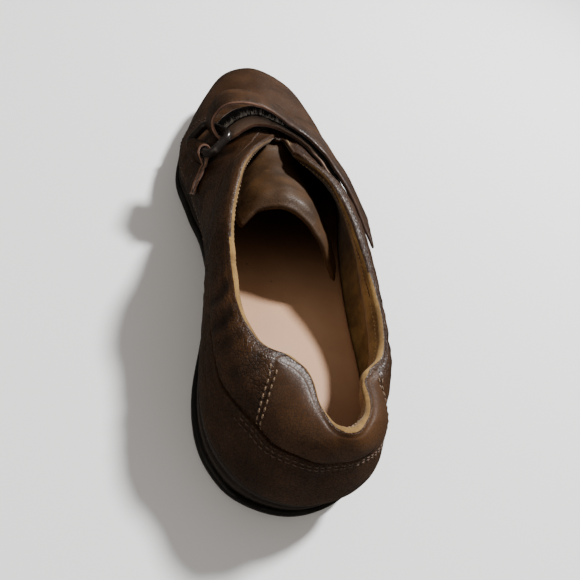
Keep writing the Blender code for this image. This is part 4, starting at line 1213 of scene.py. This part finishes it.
PALE_LINT = napped("pale_lint", (0.60, 0.56, 0.50), (0.85, 0.80, 0.72), 2000.0)
loop_first = round(LOOP_STRETCH[0] * STRAP_STEPS)
lint_first = round((LINT_FROM - LOOP_STRETCH[0]) * STRAP_STEPS)
lint_draw = np.random.default_rng(61)
lint_roots, lint_ways = [], []
for _ in range(LINT_FIBRES):
    at = lint_draw.uniform(lint_first, len(loop_rows) - 1.001)
    row, part, across_at = int(at), at % 1, lint_draw.uniform(0, 1) ** 2
    root = loop_rows[row, 0] * (1 - part) + loop_rows[row + 1, 0] * part
    forward = unit(loop_rows[row, 2] - loop_rows[row, 0])
    up = strap_normals[loop_first + row, BORDER_COLUMN]
    lint_roots.append(root + forward * across_at * LINT_REACH + up * TAPE * 0.45)
    lint_ways.append(up * 0.8 + forward * 0.6)
fibres("tape_lint", lint_roots, lint_ways, PALE_LINT, 63)

# %% [markdown]
# The ring is a rounded rectangle of lacquered steel wire. The strap turns round its upper
# long side. It hangs by that side and leans against the shoe until the tab round its
# lower side rests on the leather, so its angle is found by tilting it a degree at a time.

# %% Ring
RING_BAR = 0.0042
RING_DROP = 0.0150
RING_PLAY = 0.0006
RING_CORNER = 0.95
RING_SEAT = 0.0045
RING_AIM = (-0.600, 0.480, 0.550)
TAB = 0.0014
RING_BEND = 12
RING_SIDES = 18


def ring_path():
    """Middle of the ring's bar in its own plane: along its long side, and down."""
    half_long = (STRAP_WIDTH * STRAP_ROWS[RING_ROW][3] + RING_BAR) / 2 + RING_PLAY * 2
    corner = RING_BAR * RING_CORNER
    path = []
    for turn, (side, end) in enumerate(((1, 1), (-1, 1), (-1, -1), (1, -1))):
        for k in range(RING_BEND + 1):
            angle = math.pi / 2 * (turn + k / RING_BEND)
            path.append((side * (half_long - corner) + math.cos(angle) * corner,
                         (end + 1) * RING_DROP / 2 - end * corner + math.sin(angle) * corner))
    return path


def lacquer():
    made = Finish("dark_grey_lacquer", 0.3, Metallic=0.55, Coat_Weight=0.25, Coat_Roughness=0.18)
    wear_and_fold_shade = made.noise(240.0, 6.0, Roughness=0.6)
    shade = made.mix(made.blend(0.0, 0.8, wear_and_fold_shade, 0.56, 0.74), (0.030, 0.024, 0.021),
                     (0.105, 0.085, 0.070))
    made.put("Roughness", made.blend(0.24, 0.45, wear_and_fold_shade, 0.35, 0.7))
    return made.done(shade, made.bump(0.15, 0.0001, wear_and_fold_shade))


held = (strap_rows + strap_normals * RING_SEAT)[RING_ROW * STRAP_STEPS]
bar_centre = Vector((held[0] + held[-1]) / 2 + SHIFT)
bar_line = Vector(unit(held[-1] - held[0]))
path = ring_path()
aim_at = Vector(place_at(*RING_AIM) + SHIFT) - bar_centre
drop = (aim_at - bar_line * aim_at.dot(bar_line)).normalized()
lift = Matrix.Rotation(math.radians(1), 3, bar_line)
room = RING_BAR / 2 + RING_PLAY + TAB + GAP * 3
for leaned in range(90):
    spots = [bar_centre + bar_line * x + drop * y for x, y in path if y > RING_DROP / 2]
    nearest = [SKIN.find_nearest(spot)[:2] for spot in spots]
    if min((spot - hit).dot(normal) for spot, (hit, normal) in zip(spots, nearest)) > room:
        break
    drop = lift @ drop
print("the ring leans", leaned, "degrees more than it was aimed")
ring_face = bar_line.cross(drop)
ring_points = []
for k, (x, y) in enumerate(path):
    before, after = path[k - 1], path[(k + 1) % len(path)]
    run = (bar_line * (after[0] - before[0]) + drop * (after[1] - before[1])).normalized()
    out = run.cross(ring_face)
    spot = bar_centre + bar_line * x + drop * y
    ring_points += [spot + (out * math.cos(t) + ring_face * math.sin(t)) * RING_BAR / 2
                    for t in np.linspace(0, 2 * math.pi, RING_SIDES, endpoint=False)]
finish_mesh("ring_wire", "ring", np.array(ring_points) - SHIFT,
            tube_faces(len(path), RING_SIDES, True), [lacquer()])

# %% [markdown]
# A small tab of the same leather holds the ring. It is folded round the lower bar and its
# two legs are sewn flat on the quarter. Its tip is round.

# %% Ring tab
TAB_WIDTH = 0.012
TAB_LENGTH = 0.024
TAB_FREE = 1.7
TAB_TIP = 0.17
TAB_WRAP = 220
TAB_AIM = (-0.860, 0.500, 0.420)
TAB_RUN = 26
TAB_TURN = 26
TAB_PARTS = [2 * j / 12 - 1 for j in range(13)]
low_bar = bar_centre + drop * RING_DROP
fold_radius = RING_BAR / 2 + RING_PLAY + TAB / 2
leg_start = fold_radius * TAB_FREE
aim_at = Vector(place_at(*TAB_AIM) + SHIFT) - low_bar
tab_run = (aim_at - bar_line * aim_at.dot(bar_line)).normalized()
tab_face = bar_line.cross(tab_run)


def tab_leg(level_over):
    found = []
    for k in range(TAB_RUN + 1):
        share = k / TAB_RUN
        spot = low_bar + tab_run * (leg_start + (TAB_LENGTH - leg_start) * share)
        tip = min((1 - share) * TAB_LENGTH / (TAB_WIDTH / 2), 1.0)
        wide = TAB_WIDTH / 2 * max(math.sqrt(1 - (1 - tip) ** 2), TAB_TIP)
        found.append([set_down(SKIN, spot + bar_line * wide * part, level_over, 0.0)
                      for part in TAB_PARTS])
    return found


fold = []
for k in range(TAB_TURN + 1):
    sweep = math.radians(TAB_WRAP) * (k / TAB_TURN - 0.5)
    swing = (tab_face * math.sin(sweep) - tab_run * math.cos(sweep)) * fold_radius
    fold.append([np.array(low_bar + swing + bar_line * TAB_WIDTH / 2 * part) for part in TAB_PARTS])
tab_rows = np.array(tab_leg(GAP * 2 + TAB / 2)[::-1] + fold + tab_leg(GAP * 3 + TAB * 1.5)) - SHIFT
leather_sheet("ring_tab_strip", "ring_tab", tab_rows, TAB,
              [GRAINED, INNER_SUEDE, CUT_EDGE])

# %% [markdown]
# The camera stands where the photographer held it: over the heel and to the medial side,
# looking down into the shoe. Its place was found by fitting the outline, the topline and
# the tongue. It is turned a little so that this one shoe is in the middle.

# %% Camera
IMAGE = 580               # pixels across the image
FOCAL = 454.0             # in the same pixels
SENSOR = 36.0             # millimetres
PITCH, YAW, ROLL_ANGLE = (math.radians(a) for a in (59.3, 7.3, -10.7))
EYE = np.array([-0.0631, -0.0254 - LENGTH / 2, 0.2043]) + SHIFT
VIEW_CENTRE = (402.0, 262.0)


ahead = np.array([math.sin(YAW) * math.cos(PITCH), math.cos(YAW) * math.cos(PITCH),
                  -math.sin(PITCH)])
level_right = np.array([math.cos(YAW), -math.sin(YAW), 0.0])
level_down = np.cross(ahead, level_right)
c, s = math.cos(ROLL_ANGLE), math.sin(ROLL_ANGLE)
right, down = c * level_right + s * level_down, -s * level_right + c * level_down
off_x, off_y = ((at - IMAGE / 2) / FOCAL for at in VIEW_CENTRE)
aim = unit(right * off_x + down * off_y + ahead)
turn_to = Vector(ahead).rotation_difference(Vector(aim)).to_matrix()
right, down, ahead = (turn_to @ Vector(a) for a in (right, down, ahead))
lens = bpy.data.cameras.new("camera")
lens.sensor_width = SENSOR
lens.lens = FOCAL / IMAGE * SENSOR
lens.clip_start = 0.01
camera = bpy.data.objects.new("camera", lens)
bpy.context.scene.collection.objects.link(camera)
camera.matrix_world = Matrix.Translation(Vector(EYE)) @ Matrix(
    [[right[i], -down[i], -ahead[i]] for i in range(3)]).to_4x4()
bpy.context.scene.camera = camera
print("camera at", EYE.round(4))

# %% [markdown]
# Floor and light are plain. One large soft lamp stands high over the toe on the lateral
# side, as the shadows in the shoe show, and the pale surroundings fill the rest.

# %% Floor and light
FLOOR_HALF = 3
AIMED_AT = (0.0, 0.0, 0.03)
floor_mesh = bpy.data.meshes.new("floor")
corners = [(x * FLOOR_HALF, y * FLOOR_HALF, 0) for x, y in ((-1, -1), (1, -1), (1, 1), (-1, 1))]
floor_mesh.from_pydata(corners, [], [(0, 1, 2, 3)])
floor = bpy.data.objects.new("floor", floor_mesh)
bpy.context.scene.collection.objects.link(floor)
pale = Finish("pale_floor", 0.9, Specular_IOR_Level=0.1, Base_Color=(0.86, 0.86, 0.86, 1))
floor_mesh.materials.append(pale.made)
floor.visible_glossy = False


def lamp(name, place, power, size, tint=(1, 1, 1)):
    light = bpy.data.lights.new(name, "AREA")
    light.energy, light.color, light.shape, light.size = power, tint, "DISK", size
    made = bpy.data.objects.new(name, light)
    bpy.context.scene.collection.objects.link(made)
    made.location = place
    made.rotation_euler = (Vector(AIMED_AT) - Vector(place)).to_track_quat("-Z", "Y").to_euler()


lamp("key", (0.58, 0.40, 1.05), 36.0, 0.16)
lamp("fill", (-0.7, -0.5, 0.9), 1.6, 0.8, (1.0, 0.84, 0.68))
world = bpy.data.worlds.new("studio")
bpy.context.scene.world = world
world.use_nodes = True
sky = world.node_tree
rays, choose = sky.nodes.new("ShaderNodeLightPath"), sky.nodes.new("ShaderNodeMixShader")
sky.links.new(rays.outputs["Is Glossy Ray"], choose.inputs[0])
# Reflections see the second, dimmer sky, so that the leather keeps its deep colour
for k, (background, colour, strength) in enumerate((
        (sky.nodes["Background"], (1.0, 0.97, 0.93, 1), 0.40),
        (sky.nodes.new("ShaderNodeBackground"), (1.0, 0.90, 0.78, 1), 0.10))):
    background.inputs["Color"].default_value = colour
    background.inputs["Strength"].default_value = strength
    sky.links.new(background.outputs[0], choose.inputs[k + 1])
sky.links.new(choose.outputs[0], sky.nodes["World Output"].inputs["Surface"])
